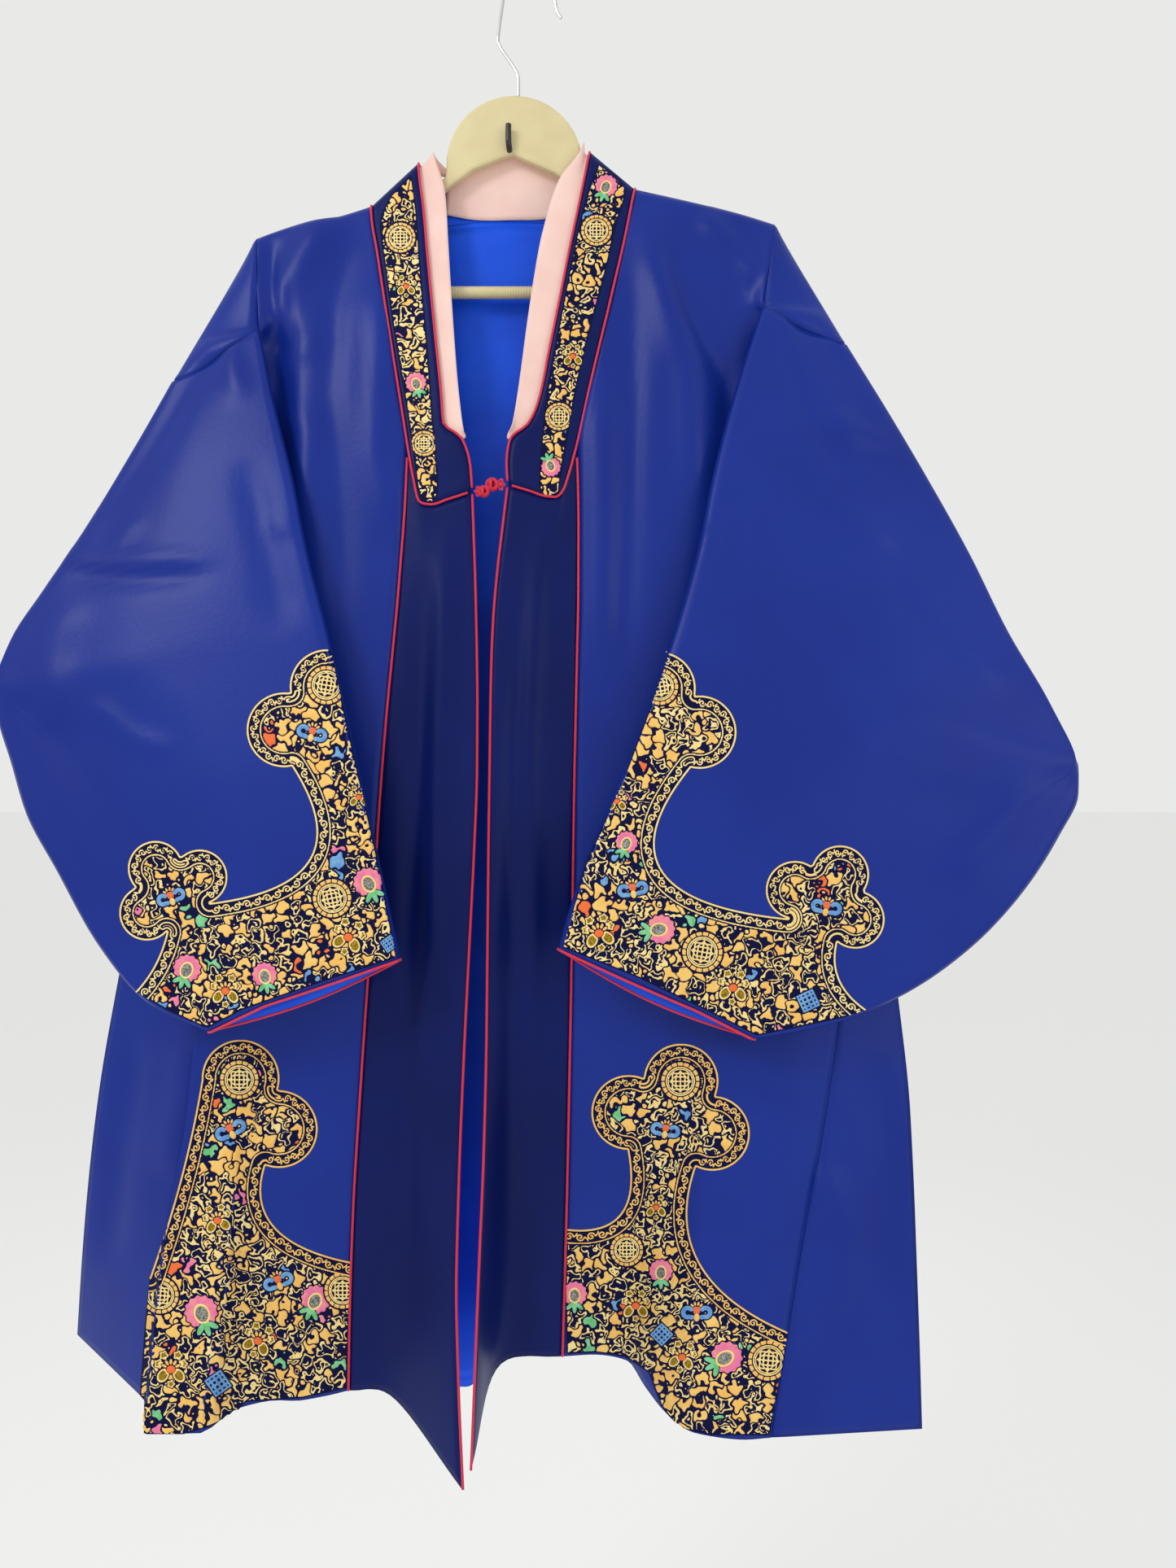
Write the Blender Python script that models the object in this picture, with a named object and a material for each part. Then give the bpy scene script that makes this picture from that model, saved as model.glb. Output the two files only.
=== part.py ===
"""Wide-sleeved coat on a wooden hanger, as flat-hung cloth shells with real seams.

Frame: metres, +Z up, X to the right of the front view, Y away from the viewer.
The origin is the hang point: the highest point inside the arch of the wire hook.
Every cloth piece is a wall between an outer face and an inner one. Its outer face runs through
guide lines, which are short tables of x, y, z, and neighbours share the points of their seam.
"""
import bpy
import bmesh
import numpy as np

# Cloth and trim sizes
WALL = 0.0012               # thickness of the coat's cloth with its lining
LINING_WALL = 0.0010        # thickness of the back lining and the inner collar
SEAM_PULL = 0.00016         # each panel stops this far short of its seam line
SIDE_FOLD_CUT = 0.006       # length of the last strip on either side of a side fold
FOLD_CUT = 0.0045           # length of the bend's strips on either side of the outer fold
FOLD_DEPTH = 0.003          # half depth of that bend
SLEEVE_EDGE = 0.0035        # radius of the bends at the sleeve's two edges
ELBOW_PLACE = 3             # the station at which the outer fold runs into the underarm seam
WING_BULGE = 0.008          # how far the cloth above the sleeve bulges to the viewer
SLIVER_AREA = 1e-9          # faces smaller than this don't count for the normals
MITRE_LIMIT = 1.6           # a bend lengthens the offset of the inner face no more than this
CORNER_REACH = 0.030        # where the seams of several pieces meet, the cloth thins over this length
CORNER_WALL = .35           # and keeps this share of its wall
PIPING_RADIUS = 0.0015
SEAM_PIPING_START = 0.0130  # the seam's piping starts this far below the collar's piping
PIPING_GAP = 0.0003         # clearance between piping and the cloth it trims
HEM_RISE_OF_LINING = 0.010  # the lining stops this far above the hem
LINING_TOP_ROW = 4          # the row of the back on which the lining starts beside the neck
LINING_INSET = 0.0024       # the lining's face lies this far inside the back's outer face

# Hanger sizes
BOARD_THICKNESS = 0.008
BOARD_EDGE = 0.0025         # rounding of the board's edges
NECK_AT = 0.4               # share of the back's upper columns that lies under the collar
PIPING_END = 0.0005         # how far short of the cloth's end the piping stops
FRONT_PIPING_START = 0.0025
REAR_BOW = 0.0025           # bow of the sleeve's rear layer towards the armhole
SIDE_FOLD_SHARE = 0.3       # the last strip takes at most this share of a side panel
REAR_START = 0.04           # where the sleeve's rear layer leaves the outer fold, as a share of its width
REAR_MIDDLE = 0.75          # its middle guide, as a share of the same width
HIDDEN_SLANT = 0.35         # sideways share of the drop of the sleeve's hidden layer
PLATE_CENTRE = (-0.013, -0.163)
PLATE_RADIUS = 0.0605
HOOK_WIRE = 0.0030
HOOK_ARCH = 0.0240          # radius of the hook's arch at the wire's centre
BAR_RADIUS = 0.0055
BAR_HEIGHT = -0.277
BAG_HOOK_WIRE = 0.0052

# How finely the cloth is divided
NECK_SHARES = (0, .33, .62, .82, .90, .95, 1)    # columns from the centre back to the neck point
NECK_COLS = len(NECK_SHARES) - 1
SHOULDER_COLS = 7           # columns from the neck point, or the collar, to the shoulder tip
WING_COLS = 5               # columns of the back from the tip line round the outer fold
WING_RELAX = (1, .85, .35, 0)    # how far the rows below the outer fold keep their columns close to the seam
WING_END = (1, .6, .35, .15, 0)  # where those columns lie, in lengths of the fold's strip
FRONT_KNOTS = (0, .27, .53, .78, 1)    # where the front's guide lines lie across its columns
NECK_FADE = 0.06            # the back takes on its neckline's shape within about this length
BAND_COLS = 5
WEDGE_COLS = 4
SLEEVE_STATIONS = (0, .03, .09, .16, .235, .31, .38, .4444, .51, .585, .665, .75, .84, .92, 1)

# Rows of the front from the shoulder line (0) to the underarm (1), and the rows that meet a landmark
FRONT_ROWS = (0, .012, .026, .045, .118, .237, .26, .33, .42, .53, .65, .77, .89, 1)
FOLD_ROW = 5                # the row at the bottom of the fold below the shoulder tip
JOIN_ROW = 9                # the row on which the collar's edge meets the panel seam
OUTER_FOLD_LEVEL = .33      # height of the outer fold's end, between shoulder (0) and underarm (1)
TOP_SEAM = (0, .04, .25, .48, .70, .86, 1)     # the back's rows along the armhole's top seam
REAR_SEAM = (.06, .25, .5, .75, 1)            # the back's rows along the armhole's rear seam
UNDERARM_LEVEL = -0.56      # height of the row below the armholes
LOW_ROWS = (0, .06, .14, .25, .37, .50, .63, .76, .88, 1)

# Lines of the right half of the coat (the right of the front view), x, y, z each.
# Upper lines run from the shoulder line to the height of the underarm.
RIGHT = {
    "shoulder_tip": (0.2177, 0, -0.2162),
    "outer_fold": (0.2822, -0.010, -0.3302),
    "underarm": (0.262, 0, -0.569),
    "front_inner": ((0.0942, 0, -0.1856), (0.0925, -0.0085, -0.1945), (0.0875, -0.011, -0.222),
                    (0.0795, -0.0155, -0.258), (0.0704, -0.022, -0.300), (0.0561, -0.0256, -0.360),
                    (0.0431, -0.0292, -0.420)),
    "front_below_join": ((0.0431, -0.0292, -0.420), (0.0444, -0.032, -0.470), (0.0444, -0.0354, -0.560)),
    "front_a": ((0.1300, 0, -0.1937), (0.1300, -0.0085, -0.2030), (0.126, -0.012, -0.235),
                (0.118, -0.021, -0.290), (0.108, -0.029, -0.360), (0.104, -0.034, -0.450),
                (0.105, -0.038, -0.560)),
    "front_b": ((0.1610, 0, -0.2010), (0.1610, -0.0085, -0.2095), (0.160, -0.011, -0.245),
                (0.154, -0.018, -0.300), (0.147, -0.024, -0.370), (0.146, -0.030, -0.460),
                (0.150, -0.036, -0.560)),
    "shoulder_line": ((0.0942, 0, -0.1856), (0.1300, 0, -0.1937), (0.1745, 0, -0.2042),
                      (0.2177, 0, -0.2162)),
    "tip_fold": ((0.2177, 0, -0.2162), (0.2172, -0.0085, -0.2205), (0.2150, -0.0160, -0.2370),
                 (0.2105, -0.0195, -0.2640), (0.2050, -0.022, -0.2977)),
    "front_tip": ((0.1905, 0, -0.2085), (0.1900, -0.0085, -0.2170), (0.1890, -0.0105, -0.252),
                  (0.188, -0.0120, -0.300), (0.186, -0.0135, -0.360), (0.190, -0.018, -0.450),
                  (0.200, -0.026, -0.560)),
    "front_armhole": ((0.2050, -0.022, -0.2977), (0.2080, -0.0150, -0.3040), (0.216, -0.012, -0.360),
                      (0.235, -0.009, -0.450), (0.262, -0.009, -0.560)),
    "back_neck": ((-0.022, 0.0145, -0.2070), (0.030, 0.0140, -0.2085), (0.066, 0.0130, -0.2050),
                  (0.082, 0.0108, -0.1965), (0.0900, 0.0062, -0.1888), (0.0942, 0, -0.1856)),
    "back_centre": ((-0.022, 0.0145, -0.207), (-0.022, 0.016, -0.240), (-0.022, 0.018, -0.300),
                    (-0.025, 0.020, -0.420), (-0.028, 0.020, -0.560)),
    "back_neck_point": ((0.0942, 0, -0.1856), (0.0942, 0.0085, -0.1945), (0.0935, 0.0115, -0.222),
                        (0.090, 0.016, -0.300), (0.090, 0.021, -0.420), (0.092, 0.022, -0.560)),
    "back_tip": ((0.2177, 0, -0.2162), (0.2170, 0.0070, -0.2240), (0.213, 0.011, -0.250),
                 (0.206, 0.014, -0.300), (0.200, 0.016, -0.360), (0.200, 0.019, -0.450),
                 (0.208, 0.020, -0.560)),
    "back_armhole_front": ((0.2050, -0.022, -0.2977), (0.2095, -0.0260, -0.2995), (0.233, -0.022, -0.315),
                           (0.258, -0.017, -0.322), (0.2785, -0.0140, -0.3290), (0.2822, -0.010, -0.3302)),
    "back_armhole_rear": ((0.2822, -0.010, -0.3302), (0.2819, -0.0055, -0.3345),
                          (0.2810, 0.000, -0.348), (0.277, 0.006, -0.400),
                          (0.270, 0.010, -0.480), (0.262, 0.009, -0.560)),
    "collar_corner": ((0.0431, -0.0292, -0.420), (0.0368, -0.0330, -0.4450), (0.0325, -0.035, -0.4600)),
    "collar_bottom": ((0.0325, -0.035, -0.4600), (0.0262, -0.0358, -0.4682), (0.0186, -0.036, -0.4680),
                      (0.0010, -0.036, -0.4625), (-0.0157, -0.036, -0.4576)),
    "collar_inner_back": ((-0.022, 0.0165, -0.1750), (0.016, 0.0165, -0.1730), (0.041, 0.0140, -0.1665),
                          (0.0515, 0.0085, -0.1590), (0.0545, 0.0040, -0.1548), (0.0551, 0, -0.1530)),
    "collar_inner": ((0.0551, 0, -0.1530), (0.0535, -0.0085, -0.1620), (0.0463, -0.0125, -0.200),
                     (0.0365, -0.019, -0.250), (0.0273, -0.026, -0.300), (0.0151, -0.030, -0.360),
                     (0.0093, -0.031, -0.3866)),
    "collar_inner_low": ((0.0093, -0.031, -0.3866), (0.0002, -0.032, -0.4045), (-0.0131, -0.033, -0.4139),
                         (-0.0173, -0.034, -0.4318), (-0.0171, -0.036, -0.4555)),
    "inner_collar_behind": ((0.0330, 0.0105, -0.1690), (0.0440, 0.0095, -0.1540), (0.0497, 0, -0.1445)),
    "inner_collar_edge": ((0.0497, 0, -0.1445), (0.0470, -0.0100, -0.1530), (0.0249, -0.0125, -0.1861),
                          (0.0137, -0.0175, -0.2267), (0.0013, -0.026, -0.3022), (-0.0060, -0.030, -0.3600),
                          (-0.0125, -0.0325, -0.4060)),
}

# The stretch of the inner collar behind the neck: its two long edges
INNER_COLLAR_BACK_LOW = ((-0.0620, 0.0111, -0.2020), (-0.0460, 0.0115, -0.2060), (-0.0135, 0.0117, -0.2065),
                         (0.0200, 0.0115, -0.2045), (0.0330, 0.0111, -0.2000))
INNER_COLLAR_BACK_TOP = ((-0.0600, 0.0098, -0.1725), (-0.0460, 0.0096, -0.1620), (-0.0300, 0.0085, -0.1535),
                         (-0.0135, 0.0075, -0.1490), (0.0030, 0.0085, -0.1530), (0.0149, 0.0096, -0.1605),
                         (0.0300, 0.0098, -0.1715))
INNER_COLLAR_BACK_COLS = 12
INNER_COLLAR_DEPTH = 0.0032     # how far the inner collar lies inside the band's outer face
INNER_COLLAR_STEP = 0.0042      # how far it runs level past the band's edge before it rises

# The body below the underarm, one row for each level: level 0 is the underarm, 1 the hem.
# Each line gives (x, y) there, and the hem's own height stands in RIGHT_HEM.
BODY_LEVELS = (0, .20, .40, .60, .80, 1)
RIGHT_BODY = {
    "front_edge": ((-.0267, -.041), (-.0301, -.0495), (-.0311, -.0575), (-.0325, -.067), (-.0372, -.0816),
                   (-.0417, -.0988)),
    "centre_turn": ((.010, -.040), (.006, -.044), (.002, -.046), (-.004, -.044), (-.012, -.034),
                    (-.0229, -.024)),
    "panel_seam": ((.0444, -.0354), (.0414, -.040), (.0395, -.042), (.0370, -.040), (.0341, -.031),
                   (.0302, -.022)),
    "valley": ((.105, -.038), (.108, -.042), (.105, -.044), (.100, -.043), (.094, -.035), (.0843, -.020)),
    "turn": ((.150, -.036), (.152, -.042), (.147, -.047), (.137, -.054), (.125, -.060), (.112, -.065)),
    "ridge": ((.200, -.026), (.200, -.036), (.193, -.049), (.180, -.066), (.165, -.082), (.1526, -.095)),
    "edge_fold": ((.248, -.014), (.247, -.028), (.245, -.044), (.230, -.062), (.204, -.078), (.184, -.094)),
    "side_seam": ((.262, -.009), (.271, -.022), (.274, -.036), (.257, -.053), (.228, -.072), (.2015, -.090)),
    "side_fold": ((.262, 0), (.290, -.006), (.315, -.018), (.3280, -.038), (.3300, -.056), (.3293, -.075)),
    "back_seam": ((.262, .009), (.264, .010), (.262, .010), (.256, .005), (.248, -.002), (.240, -.010)),
    "back_tip": ((.208, .020), (.207, .020), (.204, .020), (.200, .018), (.194, .012), (.188, .008)),
    "back_neck_point": ((.092, .022), (.090, .024), (.080, .026), (.060, .026), (.030, .026), (-.005, .026)),
    "back_centre": ((-.028, .020), (-.032, .020), (-.038, .021), (-.045, .022), (-.052, .020),
                    (-.058, .019)),
}
RIGHT_HEM = {
    "front_edge": -1.2696, "centre_turn": -1.2203, "panel_seam": -1.2149, "valley": -1.2180, "turn": -1.2360,
    "ridge": -1.2454, "edge_fold": -1.2475, "side_seam": -1.2482, "side_fold": -1.2491, "back_seam": -1.2500,
    "back_tip": -1.2320, "back_neck_point": -1.2365, "back_centre": -1.2620,
}

# The right sleeve, one row for each station from the armhole to the cuff.
# inner: the fold along its top edge. outer: where the cloth turns back behind, or lies near the underarm
# seam. seam: the underarm seam. under: a point in the middle of the hidden layer. bulge: how far the layer
# that shows bulges to the viewer in its middle.
RIGHT_SLEEVE = (
    ((0.1800, -0.034, -0.3735), (0.3251, -0.019, -0.4062), (0.3000, -0.012, -0.5932),
     (0.2456, -0.029, -0.5804), 0.009),
    ((0.1598, -0.046, -0.4483), (0.3766, -0.032, -0.5058), (0.3560, -0.030, -0.6288),
     (0.2210, -0.039, -0.5975), 0.010),
    ((0.1442, -0.057, -0.5212), (0.4211, -0.045, -0.6057), (0.4110, -0.045, -0.6638),
     (0.1964, -0.047, -0.6146), 0.010),
    ((0.1228, -0.069, -0.5927), (0.4620, -0.0625, -0.6950), (0.4665, -0.056, -0.6990),
     (0.2700, -0.051, -0.6550), 0.010),
    ((0.1041, -0.077, -0.6454), (0.4030, -0.070, -0.7290), (0.4547, -0.063, -0.7434),
     (0.2790, -0.056, -0.7000), 0.010),
    ((0.0857, -0.083, -0.6940), (0.3350, -0.079, -0.7780), (0.4145, -0.072, -0.8040),
     (0.2500, -0.066, -0.7520), 0.010),
    ((0.0635, -0.090, -0.7459), (0.2650, -0.087, -0.8300), (0.3489, -0.081, -0.8654),
     (0.2060, -0.075, -0.8080), 0.009),
    ((0.0431, -0.097, -0.7984), (0.2050, -0.095, -0.8740), (0.2699, -0.090, -0.9052),
     (0.1565, -0.085, -0.8540), 0.008),
    ((0.0287, -0.104, -0.8468), (0.1420, -0.102, -0.8980), (0.1885, -0.098, -0.9214),
     (0.1086, -0.094, -0.8860), 0.006),
)

# Lines of the left half, in the same order and units
LEFT = {
    "shoulder_tip": (-0.2409, 0, -0.2286),
    "outer_fold": (-0.3150, -0.012, -0.3640),
    "underarm": (-0.300, 0, -0.585),
    "front_inner": ((-0.1393, 0, -0.2008), (-0.1390, -0.0085, -0.2097), (-0.1355, -0.011, -0.232),
                    (-0.1305, -0.0155, -0.260), (-0.1239, -0.022, -0.300), (-0.1139, -0.0256, -0.360),
                    (-0.1039, -0.0292, -0.420)),
    "front_below_join": ((-0.1039, -0.0292, -0.420), (-0.1054, -0.032, -0.470), (-0.1116, -0.0354, -0.560)),
    "front_a": ((-0.1680, 0, -0.2099), (-0.1680, -0.0085, -0.2185), (-0.168, -0.012, -0.250),
                (-0.166, -0.021, -0.300), (-0.163, -0.029, -0.370), (-0.165, -0.033, -0.460),
                (-0.170, -0.037, -0.560)),
    "front_b": ((-0.1935, 0, -0.2154), (-0.1935, -0.0085, -0.2240), (-0.194, -0.011, -0.255),
                (-0.194, -0.019, -0.310), (-0.194, -0.024, -0.380), (-0.198, -0.029, -0.470),
                (-0.205, -0.034, -0.560)),
    "shoulder_line": ((-0.1393, 0, -0.2008), (-0.1720, 0, -0.2112), (-0.2050, 0, -0.2176),
                      (-0.2409, 0, -0.2286)),
    "tip_fold": ((-0.2409, 0, -0.2286), (-0.2404, -0.0085, -0.2330), (-0.2390, -0.0160, -0.2500),
                 (-0.2370, -0.0195, -0.2830), (-0.2341, -0.022, -0.3190)),
    "front_tip": ((-0.2185, 0, -0.2215), (-0.2180, -0.0085, -0.2300), (-0.2165, -0.0105, -0.264),
                  (-0.2145, -0.0120, -0.312), (-0.2165, -0.0135, -0.380), (-0.230, -0.018, -0.470),
                  (-0.245, -0.028, -0.560)),
    "front_armhole": ((-0.2341, -0.022, -0.3190), (-0.2370, -0.0150, -0.3255), (-0.248, -0.012, -0.380),
                      (-0.270, -0.009, -0.470), (-0.300, -0.009, -0.576)),
    "back_neck": ((-0.022, 0.0145, -0.2070), (-0.074, 0.0140, -0.2110), (-0.110, 0.0130, -0.2140),
                  (-0.127, 0.0108, -0.2085), (-0.1350, 0.0062, -0.2035), (-0.1393, 0, -0.2008)),
    "back_centre": ((-0.022, 0.0145, -0.207), (-0.022, 0.016, -0.240), (-0.022, 0.018, -0.300),
                    (-0.025, 0.020, -0.420), (-0.028, 0.020, -0.560)),
    "back_neck_point": ((-0.1393, 0, -0.2008), (-0.1393, 0.0085, -0.2097), (-0.139, 0.0115, -0.236),
                        (-0.139, 0.016, -0.310), (-0.142, 0.021, -0.430), (-0.148, 0.022, -0.560)),
    "back_tip": ((-0.2409, 0, -0.2286), (-0.2402, 0.0070, -0.2364), (-0.236, 0.011, -0.262),
                 (-0.230, 0.014, -0.310), (-0.228, 0.016, -0.370), (-0.233, 0.019, -0.460),
                 (-0.245, 0.020, -0.572)),
    "back_armhole_front": ((-0.2341, -0.022, -0.3190), (-0.2386, -0.0260, -0.3215), (-0.262, -0.022, -0.338),
                           (-0.288, -0.018, -0.352), (-0.3113, -0.0160, -0.3626),
                           (-0.3150, -0.012, -0.3640)),
    "back_armhole_rear": ((-0.3150, -0.012, -0.3640), (-0.3149, -0.0075, -0.3683),
                          (-0.3143, -0.002, -0.382), (-0.312, 0.004, -0.430),
                          (-0.306, 0.009, -0.505), (-0.300, 0.009, -0.576)),
    "collar_corner": ((-0.1039, -0.0292, -0.420), (-0.1000, -0.0325, -0.4420), (-0.0960, -0.034, -0.4620)),
    "collar_bottom": ((-0.0960, -0.034, -0.4620), (-0.0938, -0.0347, -0.4715), (-0.0870, -0.035, -0.4745),
                      (-0.0680, -0.0355, -0.4700), (-0.0480, -0.036, -0.4635)),
    "collar_inner_back": ((-0.022, 0.0165, -0.1750), (-0.060, 0.0160, -0.1760), (-0.085, 0.0140, -0.1740),
                          (-0.0950, 0.0085, -0.1690), (-0.0980, 0.0040, -0.1648), (-0.0986, 0, -0.1630)),
    "collar_inner": ((-0.0986, 0, -0.1630), (-0.0980, -0.0085, -0.1720), (-0.0942, -0.0125, -0.200),
                     (-0.0891, -0.019, -0.250), (-0.0836, -0.026, -0.300), (-0.0771, -0.030, -0.360),
                     (-0.0752, -0.031, -0.3774)),
    "collar_inner_low": ((-0.0752, -0.031, -0.3774), (-0.0679, -0.033, -0.4118), (-0.0545, -0.034, -0.4178),
                         (-0.0510, -0.034, -0.4290), (-0.0470, -0.036, -0.4610)),
    "inner_collar_behind": ((-0.0640, 0.0105, -0.1710), (-0.0770, 0.0095, -0.1600), (-0.0850, 0, -0.1530)),
    "inner_collar_edge": ((-0.0850, 0, -0.1530), (-0.0830, -0.0100, -0.1615), (-0.0731, -0.0125, -0.1941),
                          (-0.0700, -0.0175, -0.2400), (-0.0645, -0.026, -0.3163),
                          (-0.0600, -0.030, -0.3700),
                          (-0.0552, -0.0325, -0.4110)),
}
LEFT_BODY = {
    "front_edge": ((-.0444, -.041), (-.0426, -.0495), (-.0482, -.0575), (-.0540, -.067), (-.0563, -.0816),
                   (-.0488, -.100)),
    "centre_turn": ((-.078, -.040), (-.084, -.044), (-.092, -.046), (-.100, -.047), (-.110, -.042),
                    (-.1180, -.036)),
    "panel_seam": ((-.1116, -.0354), (-.1236, -.040), (-.1323, -.042), (-.1417, -.041), (-.1506, -.036),
                   (-.1550, -.030)),
    "valley": ((-.170, -.037), (-.180, -.041), (-.185, -.044), (-.188, -.045), (-.190, -.044),
               (-.1920, -.040)),
    "turn": ((-.205, -.034), (-.215, -.040), (-.220, -.045), (-.225, -.050), (-.230, -.055),
             (-.2360, -.055)),
    "ridge": ((-.245, -.028), (-.250, -.036), (-.252, -.046), (-.258, -.058), (-.268, -.076),
              (-.2800, -.092)),
    "edge_fold": ((-.288, -.015), (-.288, -.028), (-.288, -.042), (-.2900, -.056), (-.3114, -.070),
                  (-.3185, -.085)),
    "side_seam": ((-.300, -.009), (-.292, -.018), (-.285, -.026), (-.284, -.036), (-.302, -.048),
                  (-.3110, -.062)),
    "side_fold": ((-.300, 0), (-.333, 0), (-.356, 0), (-.3815, .005), (-.4000, .013), (-.4115, .020)),
    "back_seam": ((-.300, .009), (-.306, .016), (-.312, .022), (-.316, .027), (-.320, .030), (-.3220, .032)),
    "back_tip": ((-.245, .020), (-.248, .021), (-.251, .022), (-.254, .023), (-.256, .023), (-.2580, .023)),
    "back_neck_point": ((-.148, .022), (-.152, .024), (-.157, .026), (-.162, .027), (-.166, .025),
                        (-.1700, .021)),
    "back_centre": ((-.028, .020), (-.032, .020), (-.038, .021), (-.045, .022), (-.052, .020),
                    (-.058, .019)),
}
LEFT_HEM = {
    "front_edge": -1.2847, "centre_turn": -1.2415, "panel_seam": -1.2406, "valley": -1.2438, "turn": -1.2393,
    "ridge": -1.2470, "edge_fold": -1.2443, "side_seam": -1.2400, "side_fold": -1.2154, "back_seam": -1.2350,
    "back_tip": -1.2450, "back_neck_point": -1.2560, "back_centre": -1.2620,
}
LEFT_SLEEVE = (
    ((-0.2175, -0.036, -0.3868), (-0.3390, -0.017, -0.4099), (-0.3380, -0.012, -0.5968),
     (-0.2855, -0.029, -0.5987), 0.009),
    ((-0.1998, -0.048, -0.4488), (-0.3813, -0.027, -0.4895), (-0.3770, -0.026, -0.6090),
     (-0.2637, -0.040, -0.6194), 0.010),
    ((-0.1824, -0.060, -0.5239), (-0.4243, -0.039, -0.5641), (-0.4155, -0.037, -0.6210),
     (-0.2418, -0.049, -0.6400), 0.010),
    ((-0.1685, -0.067, -0.5721), (-0.4500, -0.0525, -0.6290), (-0.4543, -0.046, -0.6329),
     (-0.2350, -0.054, -0.6620), 0.010),
    ((-0.1532, -0.075, -0.6292), (-0.3950, -0.062, -0.6735), (-0.4392, -0.054, -0.6817),
     (-0.2700, -0.055, -0.6900), 0.010),
    ((-0.1373, -0.084, -0.6921), (-0.3500, -0.072, -0.7290), (-0.4177, -0.063, -0.7414),
     (-0.2775, -0.063, -0.7330), 0.010),
    ((-0.1234, -0.091, -0.7486), (-0.3030, -0.081, -0.7870), (-0.3785, -0.073, -0.8032),
     (-0.2510, -0.073, -0.7820), 0.009),
    ((-0.1102, -0.098, -0.8036), (-0.2580, -0.091, -0.8590), (-0.3239, -0.085, -0.8822),
     (-0.2170, -0.083, -0.8460), 0.008),
    ((-0.0981, -0.104, -0.8553), (-0.2090, -0.100, -0.8940), (-0.2556, -0.096, -0.9159),
     (-0.1769, -0.093, -0.8860), 0.006),
)


# Curves and surfaces

def spline(points, count_or_params, softness=None):
    """Points on a smooth curve through the given ones, at fractions of its chord length."""
    points = np.asarray(points, float)
    steps = np.linalg.norm(np.diff(points, axis=0), axis=1)
    knots = np.concatenate([[0], np.cumsum(steps)]) / steps.sum()
    return hermite(points, knots, np.asarray(count_or_params, float), softness)


def hermite(points, knots, params, softness=None):
    """Cubic curve through points at given knots; softness scales the tangent at each point."""
    slopes = np.diff(points, axis=0) / np.diff(knots)[:, None]
    tangents = np.empty_like(points)
    tangents[0] = slopes[0]
    tangents[-1] = slopes[-1]
    left = np.diff(knots)[:-1, None]
    right = np.diff(knots)[1:, None]
    tangents[1:-1] = (slopes[:-1] * right + slopes[1:] * left) / (left + right)
    if softness is not None:
        tangents *= np.asarray(softness)[:, None]
    place = np.clip(np.searchsorted(knots, params, side="right") - 1, 0, len(knots) - 2)
    width = (knots[place + 1] - knots[place])[:, None]
    t = ((params - knots[place])[:, None]) / width
    return ((2 * t**3 - 3 * t**2 + 1) * points[place] + (t**3 - 2 * t**2 + t) * width * tangents[place]
            + (3 * t**2 - 2 * t**3) * points[place + 1] + (t**3 - t**2) * width * tangents[place + 1])


def along(polyline, fractions):
    """Points at fractions of a polyline's length."""
    polyline = np.asarray(polyline, float)
    steps = np.linalg.norm(np.diff(polyline, axis=0), axis=1)
    places = np.concatenate([[0], np.cumsum(steps)]) / steps.sum()
    return np.stack([np.interp(fractions, places, polyline[:, k]) for k in range(3)], axis=1)


def even(count):
    """Fractions 0 to 1 in equal steps."""
    return np.linspace(0, 1, count + 1)


def rows_across(guides, knots, columns, softness=None):
    """A grid whose rows pass smoothly through the guide lines at the given column fractions."""
    guides = np.asarray(guides, float)
    rows = []
    for row in range(guides.shape[1]):
        rows.append(hermite(guides[:, row], np.asarray(knots, float), columns, softness))
    return np.array(rows)


def over_shoulder(guide):
    """A guide line with a round start: its first step becomes a quarter of an oval over the hanger."""
    guide = np.asarray(guide, float)
    step = guide[1] - guide[0]
    arc = []
    for angle in np.radians((0, 25, 50, 75)):
        arc.append(guide[0] + step * (1 - np.cos(angle), np.sin(angle), 1 - np.cos(angle)))
    return np.vstack([arc, guide[1:]])


def onto_shoulder(guide):
    """A guide line with a round end: its last step becomes a quarter of an oval up to the hanger's top."""
    return over_shoulder(np.asarray(guide, float)[::-1])[::-1]


def unit(vectors):
    """Vectors scaled to length 1."""
    return vectors / np.maximum(np.linalg.norm(vectors, axis=-1, keepdims=True), 1e-12)


# Lines of the two halves

def body_line(body, hem, name, underarm_z):
    """A line of the body below the underarm, at the low rows."""
    xy = np.array(body[name])
    z = underarm_z + (hem[name] - underarm_z) * np.array(BODY_LEVELS)
    points = np.column_stack([xy, z])
    return hermite(points, np.array(BODY_LEVELS), np.array(LOW_ROWS))


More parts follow.
